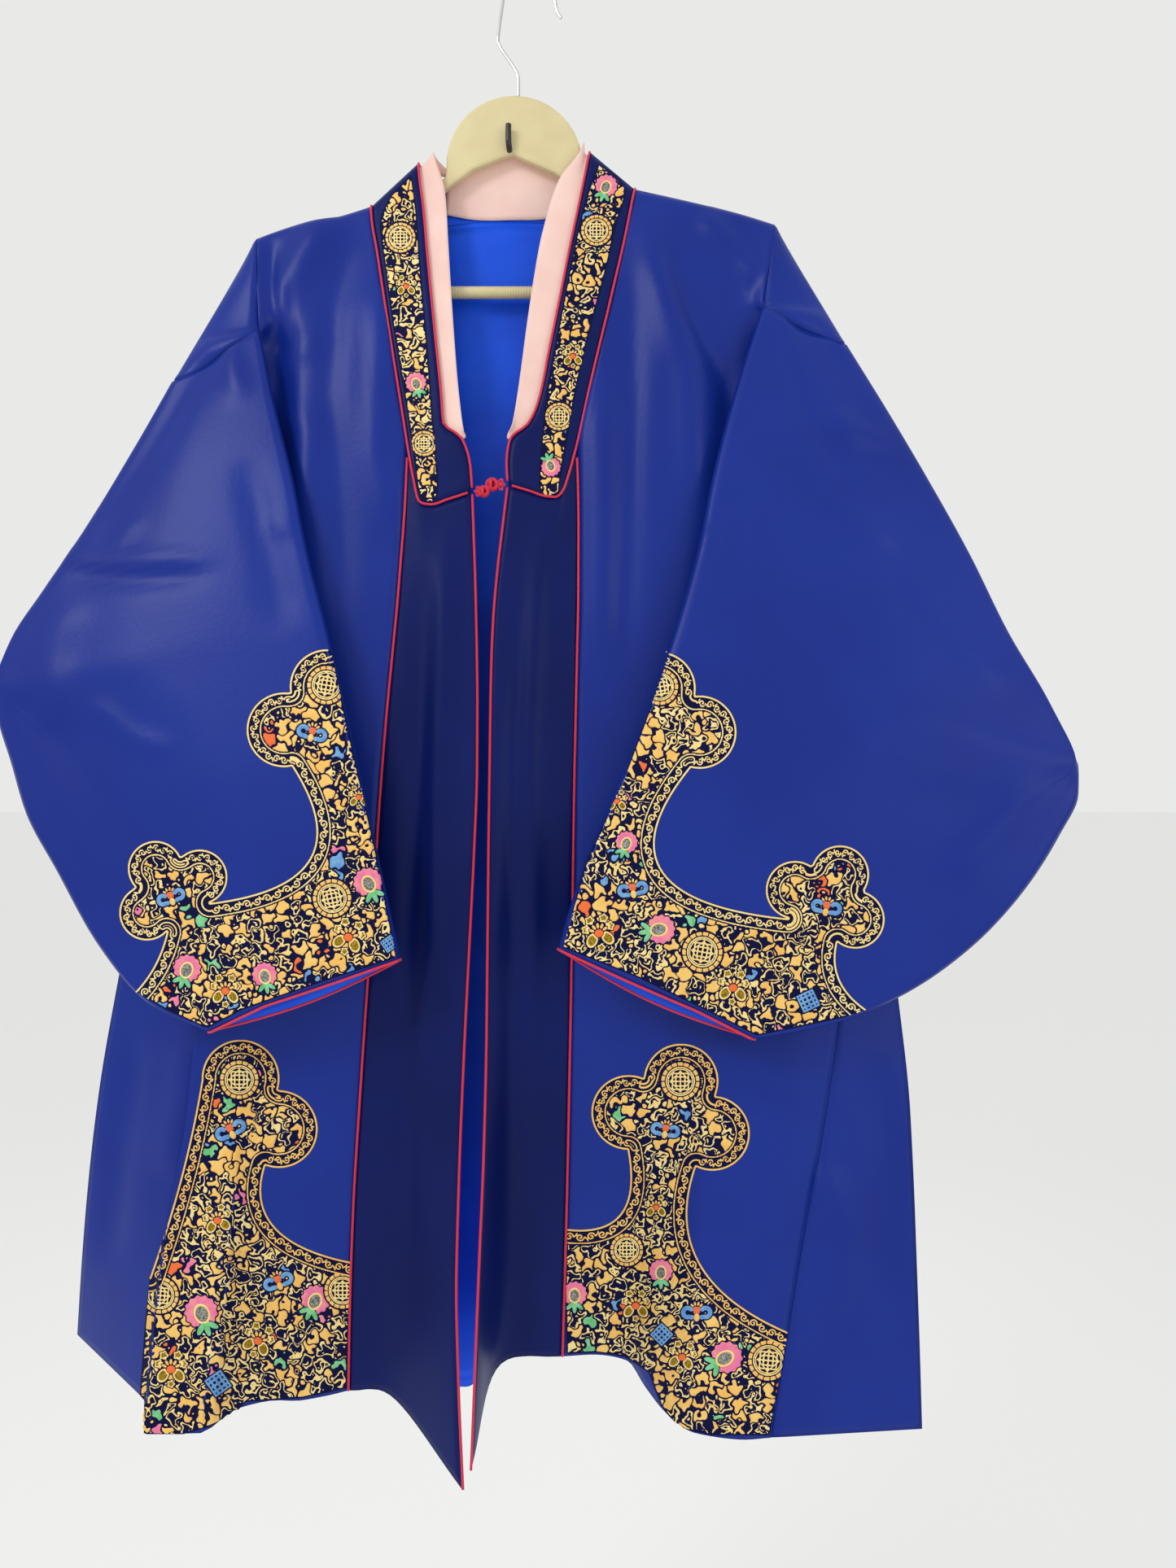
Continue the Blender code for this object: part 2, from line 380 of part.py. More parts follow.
def front_panel_grid(half, body, hem):
    """Front panel: rows from the shoulder to the hem, columns from the collar or panel seam out."""
    front_rows = np.array(FRONT_ROWS)
    knee = front_rows[JOIN_ROW]
    inner = np.vstack([spline(over_shoulder(half["front_inner"]), front_rows[:JOIN_ROW + 1] / knee),
                       spline(half["front_below_join"], (front_rows[JOIN_ROW + 1:] - knee) / (1 - knee))])
    guides = [inner] + [spline(over_shoulder(half[name]), front_rows) for name in ("front_a", "front_b",
        "front_tip")]
    guides.append(fold_and_seam(half["tip_fold"], half["front_armhole"]))
    columns = even(SHOULDER_COLS)
    upper = rows_across(guides, FRONT_KNOTS, columns)
    upper[0] = along(half["shoulder_line"], columns)
    names = ("panel_seam", "valley", "turn", "ridge", "edge_fold", "side_seam")
    lower_guides = [body_line(body, hem, name, upper[-1, 0, 2]) for name in names]
    knots = (*FRONT_KNOTS[:4], (FRONT_KNOTS[3] + 1) / 2, 1)
    lower = rows_across(lower_guides, knots, columns)
    # the lower rows start from the last upper row and take over their own guides within the first quarter
    blend = np.clip(np.array(LOW_ROWS) / .25, 0, 1)[:, None, None]
    start = upper[-1][None] - lower[0][None]
    lower = lower + start * (1 - blend) ** 2
    return np.vstack([upper, lower[1:]])


def fold_and_seam(fold, seam):
    """The front's outer edge: down the fold below the shoulder tip, then down the armhole seam."""
    rows = np.array(FRONT_ROWS)
    split = rows[FOLD_ROW]
    return np.vstack([spline(fold, rows[:FOLD_ROW + 1] / split),
                      spline(seam, (rows[FOLD_ROW + 1:] - split) / (1 - split))])


def back_rows():
    """Height fractions of the back's upper rows: the fold, the top seam and the rear seam."""
    first = np.array(FRONT_ROWS[:FOLD_ROW + 1])
    top = first[-1] + (OUTER_FOLD_LEVEL - first[-1]) * np.array(TOP_SEAM[1:])
    rear = OUTER_FOLD_LEVEL + (1 - OUTER_FOLD_LEVEL) * np.array(REAR_SEAM)
    return np.concatenate([first, top, rear])


def wrapped_row(tip, fold, end, bulge):
    """A row's wing: from the tip line round the outer fold, and back in front to the armhole's edge."""
    first = fold - tip
    last = end - fold
    depth = FOLD_DEPTH * min(1, np.linalg.norm(last) / .006)
    start = fold - unit(first) * min(FOLD_CUT, .45 * np.linalg.norm(first)) + (0, depth, 0)
    stop = fold + unit(last) * min(FOLD_CUT, .40 * np.linalg.norm(last)) - (0, depth, 0)
    middle = (stop + end) / 2 - (0, bulge * min(1, np.linalg.norm(last) / .05), 0)
    apex = fold
    return np.array([start, apex, stop, middle, end])


def back_half_grid(half, body, hem, front):
    """Half of the back panel: rows from the neck to the hem, columns from the centre outward."""
    rows = back_rows()
    last_wing = FOLD_ROW + len(TOP_SEAM) - 1
    edge = np.vstack([front[:FOLD_ROW + 1, -1], spline(half["back_armhole_front"], TOP_SEAM)[1:],
                      spline(half["back_armhole_rear"], REAR_SEAM)])
    centre = spline(half["back_centre"], rows)
    neck, tip = [spline(over_shoulder(half[name]), rows) for name in ("back_neck_point", "back_tip")]
    neckline = spline(half["back_neck"], NECK_SHARES)
    shoulder_tip, outer_fold = np.array(half["shoulder_tip"]), np.array(half["outer_fold"])
    columns = np.concatenate([np.array(NECK_SHARES) * NECK_AT,
                              NECK_AT + even(SHOULDER_COLS)[1:] * (1 - NECK_AT)])
    upper = rows_across([centre, neck, tip], (0, NECK_AT, 1), columns)
    drop = np.linalg.norm(neck - neck[0], axis=1)
    fade = np.exp(-(drop / NECK_FADE) ** 2)[:, None, None]
    top = np.vstack([neckline[:-1], front[0]])
    upper = upper + fade * (top - upper[0])[None]
    wings = [np.repeat(shoulder_tip[None], WING_COLS, axis=0)]
    for row in range(1, len(rows)):
        if row < last_wing:
            fold = shoulder_tip + (outer_fold - shoulder_tip) * rows[row] / OUTER_FOLD_LEVEL
            wings.append(wrapped_row(upper[row, -1], fold, edge[row], WING_BULGE))
        else:
            weight = WING_RELAX[min(row - last_wing, len(WING_RELAX) - 1)]
            width = np.linalg.norm(edge[row] - upper[row, -1])
            settled = 1 - FOLD_CUT / width * np.array(WING_END)
            wings.append(along([upper[row, -1], edge[row]],
                settled * weight + even(WING_COLS)[1:] * (1 - weight)))
    upper = np.concatenate([upper, np.array(wings)], axis=1)
    total = NECK_COLS + SHOULDER_COLS + WING_COLS
    neck_at, tip_at = NECK_COLS / total, (NECK_COLS + SHOULDER_COLS) / total
    columns = np.concatenate([np.array(NECK_SHARES) * neck_at,
        neck_at + even(SHOULDER_COLS)[1:] * (tip_at - neck_at),
                              tip_at + even(WING_COLS)[1:] * (1 - tip_at)])
    names = ("back_centre", "back_neck_point", "back_tip", "back_seam")
    lower_guides = [body_line(body, hem, name, UNDERARM_LEVEL) for name in names]
    lower = rows_across(lower_guides, (0, neck_at, tip_at, 1), columns)
    blend = np.clip(np.array(LOW_ROWS) / .3, 0, 1)[:, None, None]
    lower = lower + (upper[-1] - lower[0])[None] * (1 - blend) ** 2
    return np.vstack([upper, lower[1:]])


def band_grid(half, front):
    """Collar band: rows from the centre back over the shoulder to its bottom edge."""
    outer = np.vstack([spline(half["back_neck"], NECK_SHARES), front[1:JOIN_ROW + 1, 0],
                       spline(half["collar_corner"], even(WEDGE_COLS))[1:]])
    shares = np.array(FRONT_ROWS[:JOIN_ROW + 1]) / FRONT_ROWS[JOIN_ROW]
    inner = np.vstack([spline(half["collar_inner_back"], NECK_SHARES),
                       spline(over_shoulder(half["collar_inner"]), shares)[1:],
                       spline(half["collar_inner_low"], even(WEDGE_COLS))[1:]])
    bottom = spline(half["collar_bottom"], even(BAND_COLS))
    top = along([outer[0], inner[0]], even(BAND_COLS))
    grid = outer[:, None] + (inner - outer)[:, None] * even(BAND_COLS)[None, :, None]
    fade = np.linspace(0, 1, len(outer)) ** 8
    grid += fade[:, None, None] * (bottom - grid[-1])[None]
    grid[0] = top
    return grid


def centre_panel_grid(half, body, hem, front, band):
    """Centre-front panel: columns from the panel seam to the free front edge, rows to the hem."""
    top = np.vstack([band[-1 - WEDGE_COLS:, 0], band[-1, 1:]])
    seam = front[JOIN_ROW:, 0]
    seam_z = seam[:, 2]
    share = (seam_z[0] - seam_z) / (seam_z[0] - seam_z[-1])
    level_z = np.array([UNDERARM_LEVEL + (hem["front_edge"] - UNDERARM_LEVEL) * level
                        for level in BODY_LEVELS])
    edge_guide = np.vstack([[top[-1]], np.column_stack([np.array(body["front_edge"]), level_z])])
    edge = spline(edge_guide, share)
    turn_z = np.array([UNDERARM_LEVEL + (hem["centre_turn"] - UNDERARM_LEVEL) * level
                       for level in BODY_LEVELS])
    turn_guide = np.vstack([[top[WEDGE_COLS]], np.column_stack([np.array(body["centre_turn"]), turn_z])])
    turn = spline(turn_guide, share)
    turn_at = WEDGE_COLS / (WEDGE_COLS + BAND_COLS)
    columns = even(WEDGE_COLS + BAND_COLS)
    grid = rows_across([seam, turn, edge], (0, turn_at, 1), columns)
    fade = np.exp(-(share / .12) ** 2)[:, None, None]
    return grid + fade * (top - grid[0])[None]


def side_panel_grid(half, body, hem, front, back_half):
    """Side gusset: columns from the front side seam round the fold to the back side seam."""
    front_seam = front[len(FRONT_ROWS) - 1:, -1]
    back_seam = back_half[len(back_rows()) - 1:, -1]
    cap = np.array(half["underarm"])
    fold = body_line(body, hem, "side_fold", cap[2])
    fold[0] = cap
    grid = []
    for row in range(len(fold)):
        sides = []
        for seam in (front_seam[row], back_seam[row]):
            width = np.linalg.norm(fold[row] - seam)
            last = 1 - min(SIDE_FOLD_CUT / width, SIDE_FOLD_SHARE)
            shares = np.array([0, last / 3, last * 2 / 3, last, 1])
            sides.append(seam + (fold[row] - seam) * shares[:, None])
        grid.append(np.vstack([sides[0], sides[1][-2::-1]]))
    return np.array(grid)


def sleeve_grid(half, table, front, back_half):
    """Sleeve: each row is a closed loop from the top fold over the hidden layer, round the underarm
    seam and back over the layer that shows."""
    seam_rows = np.array(FRONT_ROWS[FOLD_ROW:])
    hidden_shares = (seam_rows - seam_rows[0]) / (1 - seam_rows[0])
    first = np.vstack([front[FOLD_ROW:len(FRONT_ROWS), -1], [half["underarm"]],
                       back_half[FOLD_ROW + 1:len(back_rows()), -1][::-1]])
    loops = [first]
    side = np.sign(half["underarm"][0])
    toward = np.array([0, -1.0, 0])
    for place, (inner, outer, seam, under, bulge) in enumerate(table):
        inner, outer, seam = np.array(inner), np.array(outer), np.array(seam)
        out = unit(seam - inner)
        under = np.array(under)
        if place < ELBOW_PLACE:
            hidden_end = seam + unit(under - seam) * SLEEVE_EDGE
            shown_end = seam + unit(outer - seam) * SLEEVE_EDGE
            rear_start = outer + unit(seam - outer) * SLEEVE_EDGE - toward * SLEEVE_EDGE
            fold_in = outer + unit(inner - outer) * SLEEVE_EDGE + toward * SLEEVE_EDGE
            rear = [outer, rear_start, (outer + seam) / 2 - toward * .009, shown_end]
        elif place == ELBOW_PLACE:
            hidden_end = seam - out * SLEEVE_EDGE - toward * SLEEVE_EDGE
            rear_start = outer + (seam - outer) * REAR_START
            fold_in = outer + unit(inner - outer) * SLEEVE_EDGE + toward * .001
            rear = [outer, outer + (seam - outer) * REAR_MIDDLE]
        else:
            hidden_end = seam - out * SLEEVE_EDGE - toward * SLEEVE_EDGE
            shown_end = seam - out * SLEEVE_EDGE + toward * SLEEVE_EDGE
            rear_start = None
            fold_in = None
            rear = [outer, (outer + seam) / 2 + toward * REAR_BOW, shown_end]
        hidden = [inner, inner + unit(under - inner) * SLEEVE_EDGE - toward * SLEEVE_EDGE, under, hidden_end]
        shown = [inner, inner + unit(outer - inner) * SLEEVE_EDGE + toward * SLEEVE_EDGE,
                 (inner + outer) / 2 + toward * bulge, outer]
        if fold_in is not None:
            shown.insert(3, fold_in)
        hidden_points = bent_path(hidden, hidden_shares)
        rear_points = along(rear, REAR_SEAM)
        if fold_in is None:
            shown_points = bent_path(shown, TOP_SEAM)
        else:
            shown_points = np.vstack([bent_path(shown[:-1], TOP_SEAM[:-1]), [outer]])
            rear_points[0] = rear_start
        if place == len(table) - 1:
            # the far layer of the cuff hangs a little lower than the near one
            drop = np.sin(np.pi * hidden_shares) * .006
            hidden_points = hidden_points - drop[:, None] * np.array([HIDDEN_SLANT * side, 0, 1])
        loops.append(np.vstack([hidden_points, [seam], rear_points[::-1], shown_points[:0:-1]]))
    loops = np.array(loops)
    knots = np.linspace(0, 1, len(loops))
    grid = np.empty((len(SLEEVE_STATIONS), loops.shape[1], 3))
    for column in range(loops.shape[1]):
        grid[:, column] = hermite(loops[:, column], knots, np.array(SLEEVE_STATIONS))
    return grid


def bent_path(points, fractions):
    """A path that bends sharply at its second point, and is smooth from there on."""
    fine = spline(points[1:], np.linspace(0, 1, 80))
    rest = np.array(fractions[1:])
    return np.vstack([[points[0]], along(fine, (rest - rest[0]) / (rest[-1] - rest[0]))])


# Solids

def surface_normals(grid, flip, closed):
    """Area-weighted outward normals at the points of a grid."""
    rows, cols = grid.shape[:2]
    total = np.zeros_like(grid)
    span = cols if closed else cols - 1
    for shift in range(span):
        following = (shift + 1) % cols
        a = grid[:-1, shift]
        b = grid[:-1, following]
        c = grid[1:, following]
        d = grid[1:, shift]
        face = np.cross(c - a, d - b)
        for corner, offset in ((shift, 0), (following, 0), (following, 1), (shift, 1)):
            total[offset:offset + rows - 1, corner] += face
    return -total if flip else total


def corner_thinning(point):
    """The share of the wall that is left at a point: less at the shoulder tips,
        outer folds and underarms."""
    nearest = min(np.linalg.norm(np.array(half[corner]) - point)
                  for half in (LEFT, RIGHT) for corner in ("shoulder_tip", "outer_fold", "underarm"))
    return np.clip(nearest / CORNER_REACH, CORNER_WALL, 1)


def joined_normals(panels):
    """Offset directions of every panel, shared at seam points, for a wall of even thickness."""
    sums = {}
    for name, (grid, flip, closed) in panels.items():
        for point, normal in zip(grid.reshape(-1, 3), surface_normals(grid, flip, closed).reshape(-1, 3)):
            key = tuple(np.round(point, 5))
            sums[key] = sums.get(key, 0) + unit(normal)
    cosines = {}
    for name, (grid, flip, closed) in panels.items():
        for r, c, face in corner_faces(grid, flip, closed):
            key = tuple(np.round(grid[r, c], 5))
            cosines.setdefault(key, []).append(np.dot(face, unit(sums[key])))
    result = {}
    for name, (grid, flip, closed) in panels.items():
        keys = [tuple(np.round(point, 5)) for point in grid.reshape(-1, 3)]
        lengths = [corner_thinning(key) / np.clip(np.mean(cosines[key]), 1 / MITRE_LIMIT, 1) for key in keys]
        shared = unit(np.array([sums[key] for key in keys])) * np.array(lengths)[:, None]
        result[name] = shared.reshape(grid.shape)
    return result


def corner_faces(grid, flip, closed):
    """Every face normal of a grid, once for each of the face's corners, as (row, column, normal)."""
    rows, cols = grid.shape[:2]
    for c in range(cols if closed else cols - 1):
        n = (c + 1) % cols
        faces = np.cross(grid[1:, n] - grid[:-1, c], grid[1:, c] - grid[:-1, n]) * (-1 if flip else 1)
        for r, face in enumerate(faces):
            if np.linalg.norm(face) > SLIVER_AREA:
                for corner in ((r, c), (r, n), (r + 1, n), (r + 1, c)):
                    yield *corner, unit(face)


def seam_pulls(panels):
    """Small moves of the seam points of each panel, away from the panels that share them."""
    inward = {}
    for name, (grid, flip, closed) in panels.items():
        rows, cols = grid.shape[:2]
        for r in range(rows):
            for c in range(cols):
                down = 1 if r == 0 else -1 if r == rows - 1 else 0
                over = 0 if closed else 1 if c == 0 else -1 if c == cols - 1 else 0
                if down or over:
                    key = tuple(np.round(grid[r, c], 5))
                    direction = unit(grid[r + down, c + over] - grid[r, c])
                    inward.setdefault(key, []).append((name, r, c, direction))
    moves = {name: np.zeros_like(grid) for name, (grid, flip, closed) in panels.items()}
    for shared in inward.values():
        own = {}
        for name, r, c, direction in shared:
            own.setdefault(name, []).append(direction)
        own = {name: unit(sum(directions)) for name, directions in own.items()}
        mean = sum(own.values()) / len(own)
        if len(own) > 1:
            for name, r, c, direction in shared:
                moves[name][r, c] = unit(own[name] - mean) * SEAM_PULL
    return moves


def new_object(name, vertices, faces, material, smooth=True):
    """A mesh object from vertices and faces."""
    mesh = bpy.data.meshes.new(name)
    mesh.from_pydata([tuple(v) for v in vertices], [], faces)
    mesh.materials.append(material)
    if smooth:
        mesh.shade_smooth()
        mesh.set_sharp_from_angle(angle=np.radians(50))
    mesh.update()
    item = bpy.data.objects.new(name, mesh)
    bpy.context.collection.objects.link(item)
    return item


def wall_solid(name, grid, normals, wall, material, flip=False, closed=False, moves=0):
    """A cloth wall: the grid is its outer face, and the inner one lies a wall's thickness inside."""
    rows, cols = grid.shape[:2]
    outer = grid + moves
    inner = outer - normals * wall
    vertices = np.vstack([outer.reshape(-1, 3), inner.reshape(-1, 3)])
    depth = rows * cols
    faces = []
    span = cols if closed else cols - 1
    for r in range(rows - 1):
        for c in range(span):
            n = (c + 1) % cols
            a, b, e, d = r * cols + c, r * cols + n, (r + 1) * cols + n, (r + 1) * cols + c
            if np.linalg.norm(vertices[a] - vertices[e]) < np.linalg.norm(vertices[b] - vertices[d]):
                halves = ((a, b, e), (a, e, d))
            else:
                halves = ((a, b, d), (b, e, d))
            for half in halves:
                faces.append(half)
                faces.append(tuple(i + depth for i in reversed(half)))
    border = [(0, c, 0, (c + 1) % cols) for c in range(span)]
    border += [(rows - 1, (c + 1) % cols, rows - 1, c) for c in range(span)]
    if not closed:
        border += [(r + 1, 0, r, 0) for r in range(rows - 1)]
        border += [(r, cols - 1, r + 1, cols - 1) for r in range(rows - 1)]
    for r0, c0, r1, c1 in border:
        a = r0 * cols + c0
        b = r1 * cols + c1
        # both panels at a seam split the strip between their faces along the same diagonal
        if tuple(np.round(grid[r0, c0], 5)) < tuple(np.round(grid[r1, c1], 5)):
            faces += [(b, a, b + depth), (a, a + depth, b + depth)]
        else:
            faces += [(b, a, a + depth), (b, a + depth, b + depth)]
    if flip:
        faces = [tuple(reversed(face)) for face in faces]
    return new_object(name, *welded(vertices, faces), material)


def welded(vertices, faces):
    """Merges the points that coincide, and leaves out the faces that have no area."""
    seen = {}
    places = [seen.setdefault(tuple(np.round(v, 7)), len(seen)) for v in vertices]
    kept = []
    for face in faces:
        corners = list(dict.fromkeys(places[i] for i in face))
        if len(corners) > 2:
            kept.append(tuple(corners))
    return list(seen), kept


def tube(name, path, radius, sides, material, closed=False):
    """A round cord along a path; its section turns with the path and keeps its shape."""
    path = np.asarray(path, float)
    if closed:
        tangents = unit(np.roll(path, -1, axis=0) - np.roll(path, 1, axis=0))
    else:
        tangents = unit(np.gradient(path, axis=0))
    across = np.cross(tangents[0], (0, 1, 0))
    if np.linalg.norm(across) < .1:
        across = np.cross(tangents[0], (1, 0, 0))
    rings = []
    for point, tangent in zip(path, tangents):
        across = unit(across - tangent * np.dot(across, tangent))
        up = np.cross(tangent, across)
        angles = np.arange(sides) * 2 * np.pi / sides
        rings.append(point + radius * (np.outer(np.cos(angles), across) + np.outer(np.sin(angles), up)))
    vertices = np.vstack(rings)
    faces = []
    count = len(path)
    for r in range(count if closed else count - 1):
        n = (r + 1) % count
        for s in range(sides):
            e = (s + 1) % sides
            faces.append((r * sides + s, r * sides + e, n * sides + e, n * sides + s))
    if not closed:
        faces.append(tuple(reversed(range(sides))))
        faces.append(tuple(range((count - 1) * sides, count * sides)))
    item = new_object(name, vertices, faces, material)
    outward(item)
    return item


def outward(item):
    """Turns the faces of a closed mesh to point out."""
    work = bmesh.new()
    work.from_mesh(item.data)
    bmesh.ops.recalc_face_normals(work, faces=work.faces)
    work.to_mesh(item.data)
    work.free()


def seam_path(points, normals, lift):
    """A path that lies on the cloth beside a seam, lifted clear of it."""
    return points + normals * lift


def shortened(path, start, end):
    """The path without its first and last few millimetres."""
    steps = np.linalg.norm(np.diff(path, axis=0), axis=1)
    places = np.concatenate([[0], np.cumsum(steps)])
    total = places[-1]
    keep = (places > start + .002) & (places < total - end - .002)
    ends = [np.array([np.interp(at, places, path[:, k]) for k in range(3)]) for at in (start, total - end)]
    return np.vstack([[ends[0]], path[keep], [ends[1]]])


# Materials

def material(name, colour, roughness, metallic=0.0):
    """A plain surface of one colour."""
    item = bpy.data.materials.new(name)
    item.use_nodes = True
    shader = item.node_tree.nodes["Principled BSDF"]
    shader.inputs["Base Color"].default_value = (*colour, 1)
    shader.inputs["Roughness"].default_value = roughness
    shader.inputs["Metallic"].default_value = metallic
    item.diffuse_color = (*colour, 1)
    return item


# Pieces

def cloth_pieces(looks):
    """Every cloth piece of the coat and its trim."""
    panels = {}
    halves = {}
    for letter, half, body, hem, sleeve, is_right in (
            ("l", LEFT, LEFT_BODY, LEFT_HEM, LEFT_SLEEVE, False),
            ("r", RIGHT, RIGHT_BODY, RIGHT_HEM, RIGHT_SLEEVE, True)):
        front = front_panel_grid(half, body, hem)
        back_half = back_half_grid(half, body, hem, front)
        band = band_grid(half, front)
        centre = centre_panel_grid(half, body, hem, front, band)
        side = side_panel_grid(half, body, hem, front, back_half)
        arm = sleeve_grid(half, sleeve, front, back_half)
        halves[letter] = {"half": half, "front": front, "back": back_half, "band": band, "centre": centre}
        panels["front_panel_" + letter] = (front, is_right, False)
        panels["centre_panel_" + letter] = (centre, not is_right, False)
        panels["side_panel_" + letter] = (side, is_right, False)
        panels["collar_band_" + letter] = (band, not is_right, False)
        panels["sleeve_" + letter] = (arm, not is_right, True)
    back = np.concatenate([halves["l"]["back"][:, :0:-1], halves["r"]["back"]], axis=1)
    panels["back_panel"] = (back, False, False)
    normals = joined_normals(panels)
    moves = seam_pulls(panels)
    for name, (grid, flip, closed) in panels.items():
        look = looks["navy"] if name.startswith("collar_band") else looks["satin"]
        wall_solid(name, grid, normals[name], WALL, look, flip, closed, moves[name])
    lining(back, normals["back_panel"], looks["lining"])
    inner_collar(halves, normals, looks["pink"])
    piping(halves, panels, normals, looks["red"])
    frog(halves, looks["red"])


def lining(back, normals, look):
    """The back lining: the middle of the back panel moved inward, from the neck to above the hem."""
    middle = back.shape[1] // 2
    inside = back - unit(normals) * LINING_INSET
    part = inside[:, middle - NECK_COLS:middle + NECK_COLS + 1]
    from_middle = np.abs(np.arange(part.shape[1]) - NECK_COLS) / NECK_COLS
    top = part[1] + (part[LINING_TOP_ROW] - part[1]) * (from_middle ** 2)[:, None]
    bottom = part[-1] + unit(part[-2] - part[-1]) * HEM_RISE_OF_LINING
    part = np.vstack([[top], part[LINING_TOP_ROW + 2:-1:2], [bottom]])
    own = unit(surface_normals(part, False, False))
    wall_solid("back_lining", part, own, LINING_WALL, look)


def inner_collar(halves, normals, look):
    """The pale inner collar: a strip inside each band's inner edge, and a stretch behind the neck."""
    for letter in "lr":
        band = halves[letter]["band"]
        normal = unit(normals["collar_band_" + letter])
        rows = slice(NECK_COLS - 3, len(band) - 2)
        under = band - normal * INNER_COLLAR_DEPTH
        beyond = edge_side(band[:, -1], normal[:, -1], band[:, -2])[rows] * INNER_COLLAR_STEP
        hidden = under[rows, -1] * .7 + under[rows, -2] * .3
        edge = under[rows, -1]
        half = halves[letter]["half"]
        behind = np.array(NECK_SHARES[-4:])
        behind = (behind - behind[0]) / (1 - behind[0])
        shown = np.vstack([spline(onto_shoulder(half["inner_collar_behind"]), behind),
                           spline(over_shoulder(half["inner_collar_edge"]), along_shares(edge[3:]))[1:]])
        grid = np.stack([hidden, edge, edge + beyond, shown], axis=1)
        flip = letter == "l"
        own = unit(surface_normals(grid, flip, False))
        wall_solid("inner_collar_" + letter, grid, own, LINING_WALL, look, flip)
    lower = spline(INNER_COLLAR_BACK_LOW, even(INNER_COLLAR_BACK_COLS))
    upper = spline(INNER_COLLAR_BACK_TOP, even(INNER_COLLAR_BACK_COLS))
    grid = np.array([upper, (upper + lower) / 2, lower])
    own = unit(surface_normals(grid, True, False))
    wall_solid("inner_collar_back", grid, own, LINING_WALL, look, True)


def edge_side(points, normals, inner):
    """Directions in the surface that point out over an edge, square to it."""
    tangents = unit(np.gradient(points, axis=0))
    return side_of(tangents, points, normals, inner)


def side_of(tangents, points, normals, inner):
    """Directions square to the tangents and the normals, away from the inner points."""
    side = unit(np.cross(tangents, normals))
    away = ((points - inner) * side).sum(axis=-1, keepdims=True)
    return side * np.where(away < 0, -1, 1)


def along_shares(path):
    """The fraction of the path's length at each of its points."""
    steps = np.linalg.norm(np.diff(path, axis=0), axis=1)
    return np.concatenate([[0], np.cumsum(steps)]) / steps.sum()


def piping(halves, panels, normals, look):
    """Red piping on the collar's two edges, the panel seams, the front edges and the cuffs."""
    lift = PIPING_RADIUS + PIPING_GAP
    for letter in "lr":
        band = halves[letter]["band"]
        band_normal = unit(normals["collar_band_" + letter])
        outer_edge = np.vstack([band[:, 0], band[-1, 1:]])
        even_normal = normals["collar_band_" + letter]
        outer_normal = np.vstack([even_normal[:, 0], even_normal[-1, 1:]])
        tube("collar_piping_outer_" + letter, shortened(seam_path(outer_edge, outer_normal, lift),
            .0006, .003),
             PIPING_RADIUS, 4, look)
        beyond = edge_side(band[:, -1], band_normal[:, -1], band[:, -2])
        path = band[:, -1] + beyond * lift - band_normal[:, -1] * WALL / 2
        tube("collar_piping_inner_" + letter, shortened(path, .0006, .0035), PIPING_RADIUS, 4, look)
        front = panels["front_panel_" + letter][0]
        front_normal = unit(normals["front_panel_" + letter])
        path = seam_path(front[JOIN_ROW:, 0], front_normal[JOIN_ROW:, 0], lift)
        tube("seam_piping_" + letter, shortened(path, SEAM_PIPING_START, PIPING_END), PIPING_RADIUS, 4, look)
        centre = halves[letter]["centre"]
        centre_normal = unit(normals["centre_panel_" + letter])
        beyond = edge_side(centre[:, -1], centre_normal[:, -1], centre[:, -2])
        path = centre[:, -1] + beyond * lift - centre_normal[:, -1] * WALL / 2
        tube("front_piping_" + letter, shortened(path, FRONT_PIPING_START, PIPING_END), PIPING_RADIUS,
            4, look)
        sleeve = panels["sleeve_" + letter][0]
        sleeve_normal = unit(normals["sleeve_" + letter])
        around = unit(np.roll(sleeve[-1], -1, axis=0) - np.roll(sleeve[-1], 1, axis=0))
        beyond = side_of(around, sleeve[-1], sleeve_normal[-1], sleeve[-2])
        path = sleeve[-1] + beyond * (lift + PIPING_GAP) - sleeve_normal[-1] * WALL / 2
        tube("cuff_piping_" + letter, path, PIPING_RADIUS, 4, look, closed=True)


# The frog's profile along X: distance from its outer end, radius in height, radius in depth
BUTTON_PROFILE = ((0, .0052, .0016), (.0030, .0040, .0018), (.0052, .0026, .0020), (.0062, .0036, .0034),
                  (.0078, .0054, .0052), (.0104, .0061, .0058), (.0130, .0054, .0052), (.0150, .0030, .0030),
                  (.0157, .0008, .0008))
LOOP_PROFILE = ((0, .0046, .0016), (.0018, .0036, .0018), (.0032, .0026, .0020), (.0040, .0034, .0030),
                (.0054, .0046, .0042), (.0072, .0050, .0046), (.0090, .0042, .0040), (.0100, .0024, .0024),
                (.0104, .0006, .0006))


def frog(halves, look):
    """The knotted button on the right edge and the knotted loop on the left one."""
    for name, letter, profile, direction in (("frog_button", "r", BUTTON_PROFILE, -1),
                                             ("frog_loop", "l", LOOP_PROFILE, 1)):
        end = halves[letter]["band"][-1, -1]
        start = end + np.array([direction * (2 * PIPING_RADIUS + 2.6 * PIPING_GAP), -.0015, 0])
        turned(name, start, direction, profile, look)


